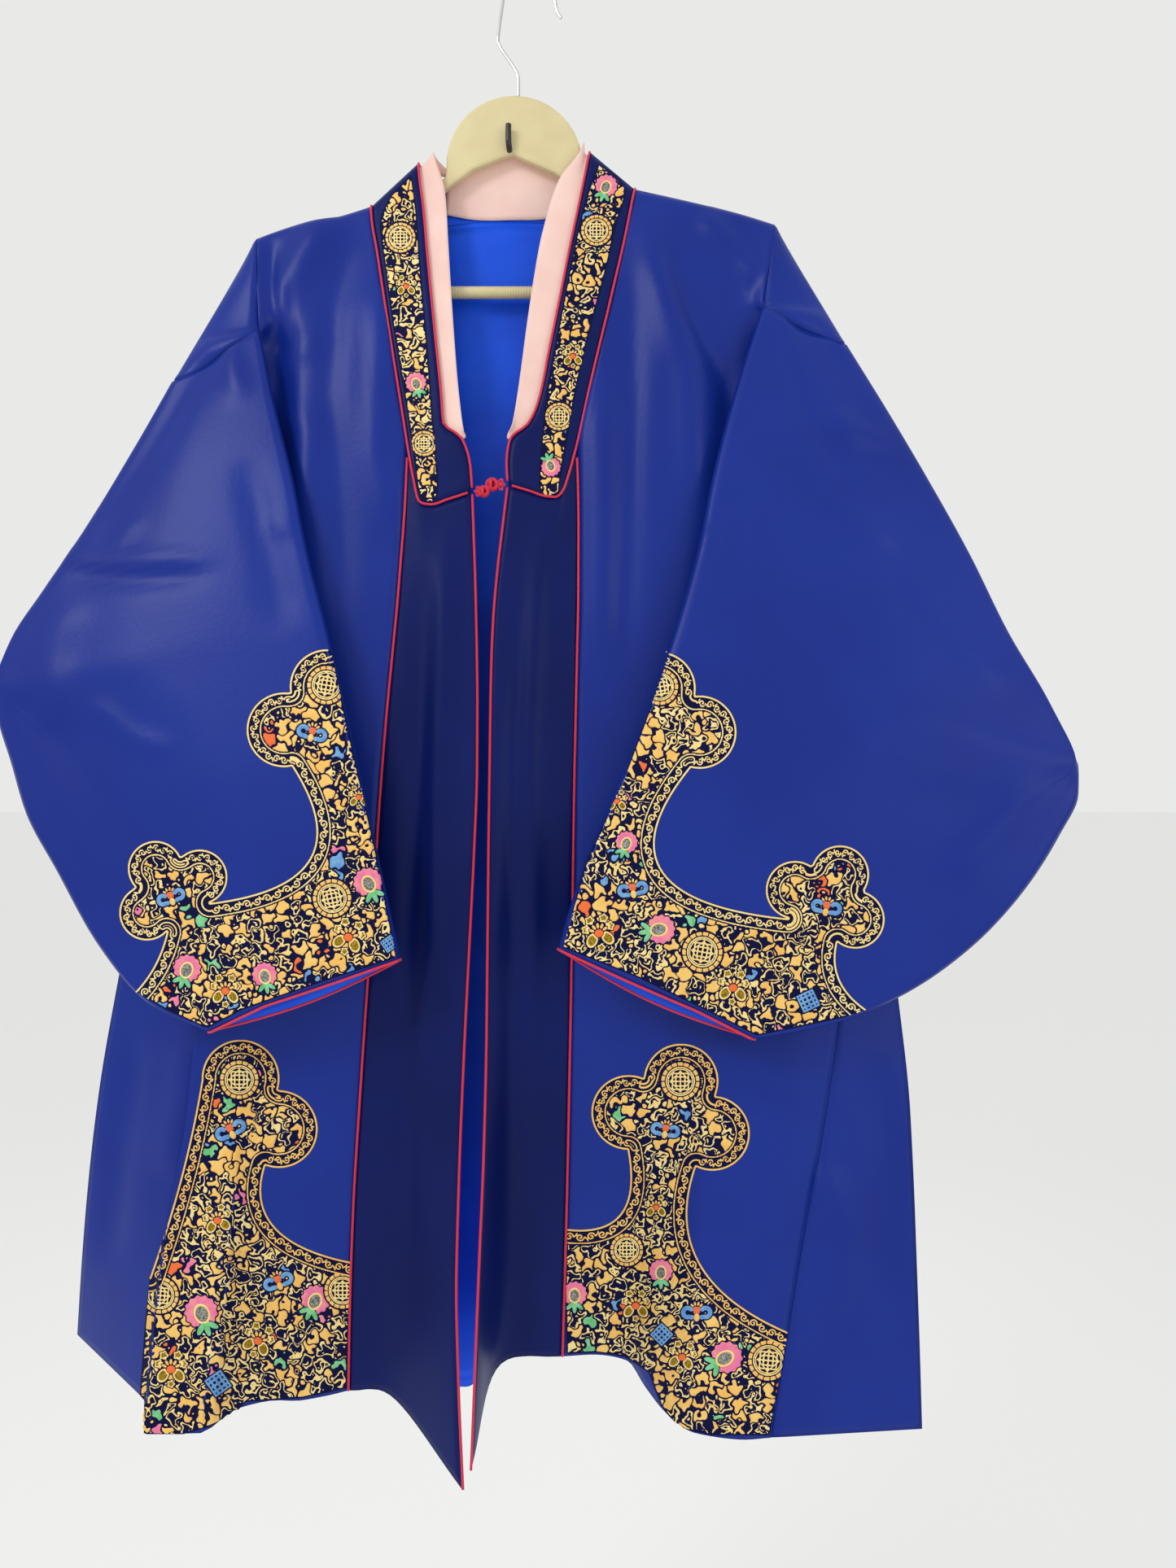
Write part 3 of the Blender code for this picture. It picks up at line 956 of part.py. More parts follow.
def turned(name, start, direction, profile, look, sides=10):
    """A body with oval sections along X from a point, closed at both ends."""
    vertices = []
    for reach, height, depth in profile:
        for k in range(sides):
            angle = 2 * np.pi * k / sides
            vertices.append(start + np.array([direction * reach, depth * np.sin(angle),
                height * np.cos(angle)]))
    faces = []
    for r in range(len(profile) - 1):
        for s in range(sides):
            e = (s + 1) % sides
            faces.append((r * sides + s, r * sides + e, (r + 1) * sides + e, (r + 1) * sides + s))
    faces.append(tuple(range(sides)))
    faces.append(tuple(range((len(profile) - 1) * sides, len(profile) * sides)))
    outward(new_object(name, vertices, faces, look))


# The hanger

# The board's outline below the plate, x and z, from the plate's side down the arm and back to the middle
LEFT_ARM = ((-.0742, -.1745), (-.0800, -.1800), (-.1080, -.1960), (-.1393, -.2060), (-.1742, -.2148),
            (-.2104, -.2219), (-.2300, -.2305), (-.2350, -.2390), (-.2350, -.2800), (-.2300, -.2855),
            (-.2225, -.2855), (-.2175, -.2800), (-.2175, -.2640), (-.1800, -.2500), (-.1300, -.2290),
            (-.0900, -.1990), (-.0500, -.1690))
RIGHT_ARM = ((.0482, -.1745), (.0540, -.1800), (.0720, -.1890), (.0942, -.1918), (.1306, -.1967),
             (.1745, -.2074), (.2030, -.2165), (.2090, -.2260), (.2090, -.2800), (.2050, -.2855),
             (.1985, -.2855), (.1940, -.2800), (.1940, -.2640), (.1600, -.2460), (.1100, -.2220),
             (.0640, -.1970), (.0230, -.1720))
APEX = (-.0150, -.1550)


def hanger(looks):
    """Board, trouser bar, wire hook and bag hook."""
    angles = np.radians(np.linspace(185, -5, 19))
    plate = [(PLATE_CENTRE[0] + PLATE_RADIUS * np.cos(a),
        PLATE_CENTRE[1] + PLATE_RADIUS * np.sin(a)) for a in angles]
    outline = [APEX] + list(reversed(LEFT_ARM)) + plate + list(RIGHT_ARM)
    half = BOARD_THICKNESS / 2
    mesh = bpy.data.meshes.new("hanger_board")
    item = bpy.data.objects.new("hanger_board", mesh)
    bpy.context.collection.objects.link(item)
    work = bmesh.new()
    ring = [work.verts.new((x, -half, z)) for x, z in outline]
    face = work.faces.new(ring)
    moved = bmesh.ops.extrude_face_region(work, geom=[face])
    new_points = [g for g in moved["geom"] if isinstance(g, bmesh.types.BMVert)]
    bmesh.ops.translate(work, verts=new_points, vec=(0, BOARD_THICKNESS, 0))
    bmesh.ops.recalc_face_normals(work, faces=work.faces)
    work.to_mesh(mesh)
    work.free()
    mesh.materials.append(looks["wood"])
    edge = item.modifiers.new("rounding", "BEVEL")
    edge.width = BOARD_EDGE
    edge.segments = 2
    edge.limit_method = "ANGLE"
    edge.angle_limit = np.radians(60)
    left_end = LEFT_ARM[12][0] + PIPING_GAP
    right_end = RIGHT_ARM[12][0] - PIPING_GAP
    tube("trouser_bar", [(left_end, 0, BAR_HEIGHT), ((left_end + right_end) / 2, 0, BAR_HEIGHT),
                         (right_end, 0, BAR_HEIGHT)], BAR_RADIUS, 12, looks["wood"])
    hook(looks["steel"])
    front = -half - .0062
    bag = spline(((-.0177, front, -.1325), (-.0177, front, -.1440), (-.0175, front + .0008, -.1490),
                  (-.0171, front + .0034, -.1524), (-.0170, -half - .0004, -.1530)), even(8))
    bag[-1] = bag[-2] + (0, -half - PIPING_GAP - bag[-2][1], 0)
    tube("bag_hook", bag, BAG_HOOK_WIRE / 2, 8, looks["black"])


def hook(look):
    """The wire hook: a neck from the plate, an offset bend and an arch with a flared tip."""
    plate_top = PLATE_CENTRE[1] + PLATE_RADIUS
    centre_z = -HOOK_ARCH + HOOK_WIRE / 2
    neck_x = -.0094
    lower = [(neck_x, 0, plate_top + .0006), (neck_x, 0, -.0900), (neck_x - .0004, 0, -.0830),
             (neck_x - .0050, 0, -.0745), (-.0245, 0, -.0600), (-.0275, 0, -.0545), (-.0270, 0, -.0450),
             (-HOOK_ARCH, 0, centre_z)]
    path = list(spline(lower, even(16)))[:-1]
    for angle in np.radians(np.linspace(180, 0, 13)):
        path.append((HOOK_ARCH * np.cos(angle), 0, centre_z + HOOK_ARCH * np.sin(angle)))
    path += [(HOOK_ARCH + .0016, 0, centre_z - .0050), (HOOK_ARCH + .0046, 0, centre_z - .0095)]
    tube("hanger_hook", path, HOOK_WIRE / 2, 8, look)


def main():
    """Clears the scene and builds the part."""
    for item in list(bpy.data.objects):
        bpy.data.objects.remove(item, do_unlink=True)
    looks = {
        "satin": material("satin", (0.045, 0.085, 0.36), 0.42),
        "navy": material("navy", (0.025, 0.035, 0.16), 0.45),
        "lining": material("lining", (0.004, 0.10, 0.75), 0.40),
        "pink": material("pink", (0.88, 0.62, 0.58), 0.50),
        "red": material("red", (0.62, 0.015, 0.055), 0.45),
        "wood": material("wood", (0.72, 0.62, 0.30), 0.45),
        "steel": material("steel", (0.60, 0.61, 0.60), 0.25, 1.0),
        "black": material("black", (0.015, 0.015, 0.018), 0.35),
    }
    cloth_pieces(looks)
    hanger(looks)


main()
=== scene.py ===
"""Haori-style coat on a wooden hanger: shells, ornament, trim, light and camera."""
import bpy
import math
import numpy as np
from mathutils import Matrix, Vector
from mathutils.bvhtree import BVHTree


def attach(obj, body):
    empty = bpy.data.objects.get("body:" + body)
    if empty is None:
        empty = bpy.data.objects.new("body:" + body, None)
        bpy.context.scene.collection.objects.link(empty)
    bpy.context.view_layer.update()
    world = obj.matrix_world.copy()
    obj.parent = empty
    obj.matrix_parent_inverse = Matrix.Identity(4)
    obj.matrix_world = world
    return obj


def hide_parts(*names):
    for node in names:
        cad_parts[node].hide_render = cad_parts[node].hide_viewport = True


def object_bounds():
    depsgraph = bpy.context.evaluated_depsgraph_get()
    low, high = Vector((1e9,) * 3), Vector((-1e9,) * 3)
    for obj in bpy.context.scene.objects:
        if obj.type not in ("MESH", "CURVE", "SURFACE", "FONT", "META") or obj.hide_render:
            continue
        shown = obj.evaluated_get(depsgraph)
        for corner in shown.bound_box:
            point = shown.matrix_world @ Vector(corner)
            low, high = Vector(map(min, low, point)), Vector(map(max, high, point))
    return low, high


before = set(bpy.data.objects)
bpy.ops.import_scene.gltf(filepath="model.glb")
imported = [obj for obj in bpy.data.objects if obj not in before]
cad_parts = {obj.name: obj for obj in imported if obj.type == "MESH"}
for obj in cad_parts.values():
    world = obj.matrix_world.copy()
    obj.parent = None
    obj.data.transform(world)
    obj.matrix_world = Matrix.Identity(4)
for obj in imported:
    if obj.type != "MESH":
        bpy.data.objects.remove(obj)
cad_low, cad_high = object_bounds()


# Cloth sizes
SIDE_FOLD_CUT = 0.006       # length of the last strip on either side of a side fold
FOLD_CUT = 0.0045           # length of the bend's strips on either side of the outer fold
FOLD_DEPTH = 0.003          # half depth of that bend
SLEEVE_EDGE = 0.0035        # radius of the bends at the sleeve's two edges
ELBOW_PLACE = 3             # the station at which the outer fold runs into the underarm seam
WING_BULGE = 0.003          # how far the cloth above the sleeve bulges to the viewer
PIPING_RADIUS = 0.0015
SEAM_PIPING_START = 0.0130  # the seam's piping starts this far below the collar's piping
LINING_INSET = 0.0024       # the lining's face lies this far inside the back's outer face
NECK_AT = 0.4               # share of the back's upper columns that lies under the collar
SIDE_FOLD_SHARE = 0.3       # the last strip takes at most this share of a side panel
REAR_START = 0.04           # where the sleeve's rear layer leaves the outer fold, as a share of its width
REAR_MIDDLE = 0.75          # its middle guide, as a share of the same width
REAR_BOW = 0.0025           # bow of the sleeve's rear layer towards the armhole
HIDDEN_SLANT = 0.35         # sideways share of the drop of the sleeve's hidden layer
PIPING_GAP = 0.0003         # clearance between piping and the cloth it trims
BAR_RADIUS = 0.0055
BAR_HEIGHT = -0.277
LINING_TOP_ROW = 4          # the row of the back on which the lining starts beside the neck
HEM_RISE_OF_LINING = 0.010  # the lining stops this far above the hem
LEFT_ARM_END = -.2175        # the hanger's arms end here, and the bar runs between them
RIGHT_ARM_END = .1940
INSIDE_WALL = 0.0006        # thickness of the lining and of the inner collar

# How finely the cloth is divided
NECK_SHARES = (0, .33, .62, .82, .90, .95, 1)    # columns from the centre back to the neck point
NECK_COLS = len(NECK_SHARES) - 1
SHOULDER_COLS = 7           # columns from the neck point, or the collar, to the shoulder tip
WING_COLS = 5               # columns of the back from the tip line round the outer fold
WING_RELAX = (1, .85, .35, 0)    # how far the rows below the outer fold keep their columns close to the seam
WING_END = (1, .6, .35, .15, 0)  # where those columns lie, in lengths of the fold's strip
FRONT_KNOTS = (0, .27, .53, .78, 1)    # where the front's guide lines lie across its columns
NECK_FADE = 0.06            # the back takes on its neckline's shape within about this length
BAND_COLS = 5
WEDGE_COLS = 4
SLEEVE_STATIONS = (0, .03, .09, .16, .235, .31, .38, .4444, .51, .585, .665, .75, .84, .92, 1)

# Rows of the front from the shoulder line (0) to the underarm (1), and the rows that meet a landmark
FRONT_ROWS = (0, .012, .026, .045, .118, .237, .26, .33, .42, .53, .65, .77, .89, 1)
FOLD_ROW = 5                # the row at the bottom of the fold below the shoulder tip
JOIN_ROW = 9                # the row on which the collar's edge meets the panel seam
OUTER_FOLD_LEVEL = .33      # height of the outer fold's end, between shoulder (0) and underarm (1)
TOP_SEAM = (0, .04, .25, .48, .70, .86, 1)     # the back's rows along the armhole's top seam
REAR_SEAM = (.06, .25, .5, .75, 1)            # the back's rows along the armhole's rear seam
UNDERARM_LEVEL = -0.56      # height of the row below the armholes
LOW_ROWS = (0, .06, .14, .25, .37, .50, .63, .76, .88, 1)

# Lines of the right half of the coat (the right of the front view), x, y, z each.
# Upper lines run from the shoulder line to the height of the underarm.
RIGHT = {
    "shoulder_tip": (0.2177, 0, -0.2162),
    "outer_fold": (0.2822, -0.010, -0.3302),
    "underarm": (0.262, 0, -0.569),
    "front_inner": ((0.0942, 0, -0.1856), (0.0925, -0.0085, -0.1945), (0.0875, -0.011, -0.222),
                    (0.0795, -0.0155, -0.258), (0.0704, -0.022, -0.300), (0.0561, -0.0256, -0.360),
                    (0.0431, -0.0292, -0.420)),
    "front_below_join": ((0.0431, -0.0292, -0.420), (0.0444, -0.032, -0.470), (0.0444, -0.0354, -0.560)),
    "front_a": ((0.1300, 0, -0.1937), (0.1300, -0.0085, -0.2030), (0.126, -0.012, -0.235),
                (0.118, -0.021, -0.290), (0.108, -0.029, -0.360), (0.104, -0.034, -0.450),
                (0.105, -0.038, -0.560)),
    "front_b": ((0.1610, 0, -0.2010), (0.1610, -0.0085, -0.2095), (0.160, -0.011, -0.245),
                (0.154, -0.018, -0.300), (0.147, -0.024, -0.370), (0.146, -0.030, -0.460),
                (0.150, -0.036, -0.560)),
    "shoulder_line": ((0.0942, 0, -0.1856), (0.1300, 0, -0.1937), (0.1745, 0, -0.2042),
                      (0.2177, 0, -0.2162)),
    "tip_fold": ((0.2177, 0, -0.2162), (0.2172, -0.0085, -0.2205), (0.2150, -0.0160, -0.2370),
                 (0.2105, -0.0195, -0.2640), (0.2050, -0.022, -0.2977)),
    "front_tip": ((0.1905, 0, -0.2085), (0.1900, -0.0085, -0.2170), (0.1890, -0.0105, -0.252),
                  (0.188, -0.0120, -0.300), (0.186, -0.0135, -0.360), (0.190, -0.018, -0.450),
                  (0.200, -0.026, -0.560)),
    "front_armhole": ((0.2050, -0.022, -0.2977), (0.2080, -0.0150, -0.3040), (0.216, -0.012, -0.360),
                      (0.235, -0.009, -0.450), (0.262, -0.009, -0.560)),
    "back_neck": ((-0.022, 0.0145, -0.2070), (0.030, 0.0140, -0.2085), (0.066, 0.0130, -0.2050),
                  (0.082, 0.0108, -0.1965), (0.0900, 0.0062, -0.1888), (0.0942, 0, -0.1856)),
    "back_centre": ((-0.022, 0.0145, -0.207), (-0.022, 0.016, -0.240), (-0.022, 0.018, -0.300),
                    (-0.025, 0.020, -0.420), (-0.028, 0.020, -0.560)),
    "back_neck_point": ((0.0942, 0, -0.1856), (0.0942, 0.0085, -0.1945), (0.0935, 0.0115, -0.222),
                        (0.090, 0.016, -0.300), (0.090, 0.021, -0.420), (0.092, 0.022, -0.560)),
    "back_tip": ((0.2177, 0, -0.2162), (0.2170, 0.0070, -0.2240), (0.213, 0.011, -0.250),
                 (0.206, 0.014, -0.300), (0.200, 0.016, -0.360), (0.200, 0.019, -0.450),
                 (0.208, 0.020, -0.560)),
    "back_armhole_front": ((0.2050, -0.022, -0.2977), (0.2095, -0.0260, -0.2995), (0.233, -0.022, -0.315),
                           (0.258, -0.017, -0.322), (0.2785, -0.0140, -0.3290), (0.2822, -0.010, -0.3302)),
    "back_armhole_rear": ((0.2822, -0.010, -0.3302), (0.2819, -0.0055, -0.3345),
                          (0.2810, 0.000, -0.348), (0.277, 0.006, -0.400),
                          (0.270, 0.010, -0.480), (0.262, 0.009, -0.560)),
    "collar_corner": ((0.0431, -0.0292, -0.420), (0.0368, -0.0330, -0.4450), (0.0325, -0.035, -0.4600)),
    "collar_bottom": ((0.0325, -0.035, -0.4600), (0.0262, -0.0358, -0.4682), (0.0186, -0.036, -0.4680),
                      (0.0010, -0.036, -0.4625), (-0.0157, -0.036, -0.4576)),
    "collar_inner_back": ((-0.022, 0.0165, -0.1750), (0.016, 0.0165, -0.1730), (0.041, 0.0140, -0.1665),
                          (0.0515, 0.0085, -0.1590), (0.0545, 0.0040, -0.1548), (0.0551, 0, -0.1530)),
    "collar_inner": ((0.0551, 0, -0.1530), (0.0535, -0.0085, -0.1620), (0.0463, -0.0125, -0.200),
                     (0.0365, -0.019, -0.250), (0.0273, -0.026, -0.300), (0.0151, -0.030, -0.360),
                     (0.0093, -0.031, -0.3866)),
    "collar_inner_low": ((0.0093, -0.031, -0.3866), (0.0002, -0.032, -0.4045), (-0.0131, -0.033, -0.4139),
                         (-0.0173, -0.034, -0.4318), (-0.0171, -0.036, -0.4555)),
    "inner_collar_behind": ((0.0330, 0.0105, -0.1690), (0.0440, 0.0095, -0.1540), (0.0497, 0, -0.1445)),
    "inner_collar_edge": ((0.0497, 0, -0.1445), (0.0470, -0.0100, -0.1530), (0.0249, -0.0125, -0.1861),
                          (0.0137, -0.0175, -0.2267), (0.0013, -0.026, -0.3022), (-0.0060, -0.030, -0.3600),
                          (-0.0125, -0.0325, -0.4060)),
}

# The stretch of the inner collar behind the neck: its two long edges
INNER_COLLAR_BACK_LOW = ((-0.0620, 0.0111, -0.2020), (-0.0460, 0.0115, -0.2060), (-0.0135, 0.0117, -0.2065),
                         (0.0200, 0.0115, -0.2045), (0.0330, 0.0111, -0.2000))
INNER_COLLAR_BACK_TOP = ((-0.0600, 0.0098, -0.1725), (-0.0460, 0.0096, -0.1620), (-0.0300, 0.0085, -0.1535),
                         (-0.0135, 0.0075, -0.1490), (0.0030, 0.0085, -0.1530), (0.0149, 0.0096, -0.1605),
                         (0.0300, 0.0098, -0.1715))
INNER_COLLAR_BACK_COLS = 12
INNER_COLLAR_DEPTH = 0.0032     # how far the inner collar lies inside the band's outer face
INNER_COLLAR_STEP = 0.0042      # how far it runs level past the band's edge before it rises

# The body below the underarm, one row for each level: level 0 is the underarm, 1 the hem.
# Each line gives (x, y) there, and the hem's own height stands in RIGHT_HEM.
BODY_LEVELS = (0, .20, .40, .60, .80, 1)
RIGHT_BODY = {
    "front_edge": ((-.0267, -.041), (-.0301, -.0495), (-.0311, -.0575), (-.0325, -.067), (-.0372, -.0816),
                   (-.0417, -.0988)),
    "centre_turn": ((.010, -.040), (.006, -.044), (.002, -.046), (-.004, -.044), (-.012, -.034),
                    (-.0229, -.024)),
    "panel_seam": ((.0444, -.0354), (.0414, -.040), (.0395, -.042), (.0370, -.040), (.0341, -.031),
                   (.0302, -.022)),
    "valley": ((.105, -.038), (.108, -.042), (.105, -.044), (.100, -.043), (.094, -.035), (.0843, -.020)),
    "turn": ((.150, -.036), (.152, -.042), (.147, -.047), (.137, -.054), (.125, -.060), (.112, -.065)),
    "ridge": ((.200, -.026), (.200, -.036), (.193, -.049), (.180, -.066), (.165, -.082), (.1526, -.095)),
    "edge_fold": ((.248, -.014), (.247, -.028), (.245, -.044), (.230, -.062), (.204, -.078), (.184, -.094)),
    "side_seam": ((.262, -.009), (.271, -.022), (.274, -.036), (.257, -.053), (.228, -.072), (.2015, -.090)),
    "side_fold": ((.262, 0), (.290, -.006), (.315, -.018), (.3280, -.038), (.3300, -.056), (.3293, -.075)),
    "back_seam": ((.262, .009), (.264, .010), (.262, .010), (.256, .005), (.248, -.002), (.240, -.010)),
    "back_tip": ((.208, .020), (.207, .020), (.204, .020), (.200, .018), (.194, .012), (.188, .008)),
    "back_neck_point": ((.092, .022), (.090, .024), (.080, .026), (.060, .026), (.030, .026), (-.005, .026)),
    "back_centre": ((-.028, .020), (-.032, .020), (-.038, .021), (-.045, .022), (-.052, .020),
                    (-.058, .019)),
}
RIGHT_HEM = {
    "front_edge": -1.2696, "centre_turn": -1.2203, "panel_seam": -1.2149, "valley": -1.2180, "turn": -1.2360,
    "ridge": -1.2454, "edge_fold": -1.2475, "side_seam": -1.2482, "side_fold": -1.2491, "back_seam": -1.2500,
    "back_tip": -1.2320, "back_neck_point": -1.2365, "back_centre": -1.2620,
}

# The right sleeve, one row for each station from the armhole to the cuff.
# inner: the fold along its top edge. outer: where the cloth turns back behind, or lies near the underarm
# seam. seam: the underarm seam. under: a point in the middle of the hidden layer. bulge: how far the layer
# that shows bulges to the viewer in its middle.
RIGHT_SLEEVE = (
    ((0.1800, -0.034, -0.3735), (0.3251, -0.019, -0.4062), (0.3000, -0.012, -0.5932),
     (0.2456, -0.029, -0.5804), 0.009),
    ((0.1598, -0.046, -0.4483), (0.3766, -0.032, -0.5058), (0.3560, -0.030, -0.6288),
     (0.2210, -0.039, -0.5975), 0.010),
    ((0.1442, -0.057, -0.5212), (0.4211, -0.045, -0.6057), (0.4110, -0.045, -0.6638),
     (0.1964, -0.047, -0.6146), 0.010),
    ((0.1228, -0.069, -0.5927), (0.4620, -0.0625, -0.6950), (0.4665, -0.056, -0.6990),
     (0.2700, -0.051, -0.6550), 0.010),
    ((0.1041, -0.077, -0.6454), (0.4030, -0.070, -0.7290), (0.4547, -0.063, -0.7434),
     (0.2790, -0.056, -0.7000), 0.010),
    ((0.0857, -0.083, -0.6940), (0.3350, -0.079, -0.7780), (0.4145, -0.072, -0.8040),
     (0.2500, -0.066, -0.7520), 0.010),
    ((0.0635, -0.090, -0.7459), (0.2650, -0.087, -0.8300), (0.3489, -0.081, -0.8654),
     (0.2060, -0.075, -0.8080), 0.009),
    ((0.0431, -0.097, -0.7984), (0.2050, -0.095, -0.8740), (0.2699, -0.090, -0.9052),
     (0.1565, -0.085, -0.8540), 0.008),
    ((0.0287, -0.104, -0.8468), (0.1420, -0.102, -0.8980), (0.1885, -0.098, -0.9214),
     (0.1086, -0.094, -0.8860), 0.006),
)

# Lines of the left half, in the same order and units
LEFT = {
    "shoulder_tip": (-0.2409, 0, -0.2286),
    "outer_fold": (-0.3150, -0.012, -0.3640),
    "underarm": (-0.300, 0, -0.585),
    "front_inner": ((-0.1393, 0, -0.2008), (-0.1390, -0.0085, -0.2097), (-0.1355, -0.011, -0.232),
                    (-0.1305, -0.0155, -0.260), (-0.1239, -0.022, -0.300), (-0.1139, -0.0256, -0.360),
                    (-0.1039, -0.0292, -0.420)),
    "front_below_join": ((-0.1039, -0.0292, -0.420), (-0.1054, -0.032, -0.470), (-0.1116, -0.0354, -0.560)),
    "front_a": ((-0.1680, 0, -0.2099), (-0.1680, -0.0085, -0.2185), (-0.168, -0.012, -0.250),
                (-0.166, -0.021, -0.300), (-0.163, -0.029, -0.370), (-0.165, -0.033, -0.460),
                (-0.170, -0.037, -0.560)),
    "front_b": ((-0.1935, 0, -0.2154), (-0.1935, -0.0085, -0.2240), (-0.194, -0.011, -0.255),
                (-0.194, -0.019, -0.310), (-0.194, -0.024, -0.380), (-0.198, -0.029, -0.470),
                (-0.205, -0.034, -0.560)),
    "shoulder_line": ((-0.1393, 0, -0.2008), (-0.1720, 0, -0.2112), (-0.2050, 0, -0.2176),
                      (-0.2409, 0, -0.2286)),
    "tip_fold": ((-0.2409, 0, -0.2286), (-0.2404, -0.0085, -0.2330), (-0.2390, -0.0160, -0.2500),
                 (-0.2370, -0.0195, -0.2830), (-0.2341, -0.022, -0.3190)),
    "front_tip": ((-0.2185, 0, -0.2215), (-0.2180, -0.0085, -0.2300), (-0.2165, -0.0105, -0.264),
                  (-0.2145, -0.0120, -0.312), (-0.2165, -0.0135, -0.380), (-0.230, -0.018, -0.470),
                  (-0.245, -0.028, -0.560)),
    "front_armhole": ((-0.2341, -0.022, -0.3190), (-0.2370, -0.0150, -0.3255), (-0.248, -0.012, -0.380),
                      (-0.270, -0.009, -0.470), (-0.300, -0.009, -0.576)),
    "back_neck": ((-0.022, 0.0145, -0.2070), (-0.074, 0.0140, -0.2110), (-0.110, 0.0130, -0.2140),
                  (-0.127, 0.0108, -0.2085), (-0.1350, 0.0062, -0.2035), (-0.1393, 0, -0.2008)),
    "back_centre": ((-0.022, 0.0145, -0.207), (-0.022, 0.016, -0.240), (-0.022, 0.018, -0.300),
                    (-0.025, 0.020, -0.420), (-0.028, 0.020, -0.560)),
    "back_neck_point": ((-0.1393, 0, -0.2008), (-0.1393, 0.0085, -0.2097), (-0.139, 0.0115, -0.236),
                        (-0.139, 0.016, -0.310), (-0.142, 0.021, -0.430), (-0.148, 0.022, -0.560)),
    "back_tip": ((-0.2409, 0, -0.2286), (-0.2402, 0.0070, -0.2364), (-0.236, 0.011, -0.262),
                 (-0.230, 0.014, -0.310), (-0.228, 0.016, -0.370), (-0.233, 0.019, -0.460),
                 (-0.245, 0.020, -0.572)),
    "back_armhole_front": ((-0.2341, -0.022, -0.3190), (-0.2386, -0.0260, -0.3215), (-0.262, -0.022, -0.338),
                           (-0.288, -0.018, -0.352), (-0.3113, -0.0160, -0.3626),
                           (-0.3150, -0.012, -0.3640)),
    "back_armhole_rear": ((-0.3150, -0.012, -0.3640), (-0.3149, -0.0075, -0.3683),
                          (-0.3143, -0.002, -0.382), (-0.312, 0.004, -0.430),
                          (-0.306, 0.009, -0.505), (-0.300, 0.009, -0.576)),
    "collar_corner": ((-0.1039, -0.0292, -0.420), (-0.1000, -0.0325, -0.4420), (-0.0960, -0.034, -0.4620)),
    "collar_bottom": ((-0.0960, -0.034, -0.4620), (-0.0938, -0.0347, -0.4715), (-0.0870, -0.035, -0.4745),
                      (-0.0680, -0.0355, -0.4700), (-0.0480, -0.036, -0.4635)),
    "collar_inner_back": ((-0.022, 0.0165, -0.1750), (-0.060, 0.0160, -0.1760), (-0.085, 0.0140, -0.1740),
                          (-0.0950, 0.0085, -0.1690), (-0.0980, 0.0040, -0.1648), (-0.0986, 0, -0.1630)),
    "collar_inner": ((-0.0986, 0, -0.1630), (-0.0980, -0.0085, -0.1720), (-0.0942, -0.0125, -0.200),
                     (-0.0891, -0.019, -0.250), (-0.0836, -0.026, -0.300), (-0.0771, -0.030, -0.360),
                     (-0.0752, -0.031, -0.3774)),
    "collar_inner_low": ((-0.0752, -0.031, -0.3774), (-0.0679, -0.033, -0.4118), (-0.0545, -0.034, -0.4178),
                         (-0.0510, -0.034, -0.4290), (-0.0470, -0.036, -0.4610)),
    "inner_collar_behind": ((-0.0640, 0.0105, -0.1710), (-0.0770, 0.0095, -0.1600), (-0.0850, 0, -0.1530)),
    "inner_collar_edge": ((-0.0850, 0, -0.1530), (-0.0830, -0.0100, -0.1615), (-0.0731, -0.0125, -0.1941),
                          (-0.0700, -0.0175, -0.2400), (-0.0645, -0.026, -0.3163),
                          (-0.0600, -0.030, -0.3700),
                          (-0.0552, -0.0325, -0.4110)),
}
LEFT_BODY = {
    "front_edge": ((-.0444, -.041), (-.0426, -.0495), (-.0482, -.0575), (-.0540, -.067), (-.0563, -.0816),
                   (-.0488, -.100)),
    "centre_turn": ((-.078, -.040), (-.084, -.044), (-.092, -.046), (-.100, -.047), (-.110, -.042),
                    (-.1180, -.036)),
    "panel_seam": ((-.1116, -.0354), (-.1236, -.040), (-.1323, -.042), (-.1417, -.041), (-.1506, -.036),
                   (-.1550, -.030)),
    "valley": ((-.170, -.037), (-.180, -.041), (-.185, -.044), (-.188, -.045), (-.190, -.044),
               (-.1920, -.040)),
    "turn": ((-.205, -.034), (-.215, -.040), (-.220, -.045), (-.225, -.050), (-.230, -.055),
             (-.2360, -.055)),
    "ridge": ((-.245, -.028), (-.250, -.036), (-.252, -.046), (-.258, -.058), (-.268, -.076),
              (-.2800, -.092)),
    "edge_fold": ((-.288, -.015), (-.288, -.028), (-.288, -.042), (-.2900, -.056), (-.3114, -.070),
                  (-.3185, -.085)),
    "side_seam": ((-.300, -.009), (-.292, -.018), (-.285, -.026), (-.284, -.036), (-.302, -.048),
                  (-.3110, -.062)),
    "side_fold": ((-.300, 0), (-.333, 0), (-.356, 0), (-.3815, .005), (-.4000, .013), (-.4115, .020)),
    "back_seam": ((-.300, .009), (-.306, .016), (-.312, .022), (-.316, .027), (-.320, .030), (-.3220, .032)),
    "back_tip": ((-.245, .020), (-.248, .021), (-.251, .022), (-.254, .023), (-.256, .023), (-.2580, .023)),
    "back_neck_point": ((-.148, .022), (-.152, .024), (-.157, .026), (-.162, .027), (-.166, .025),
                        (-.1700, .021)),
    "back_centre": ((-.028, .020), (-.032, .020), (-.038, .021), (-.045, .022), (-.052, .020),
                    (-.058, .019)),
}
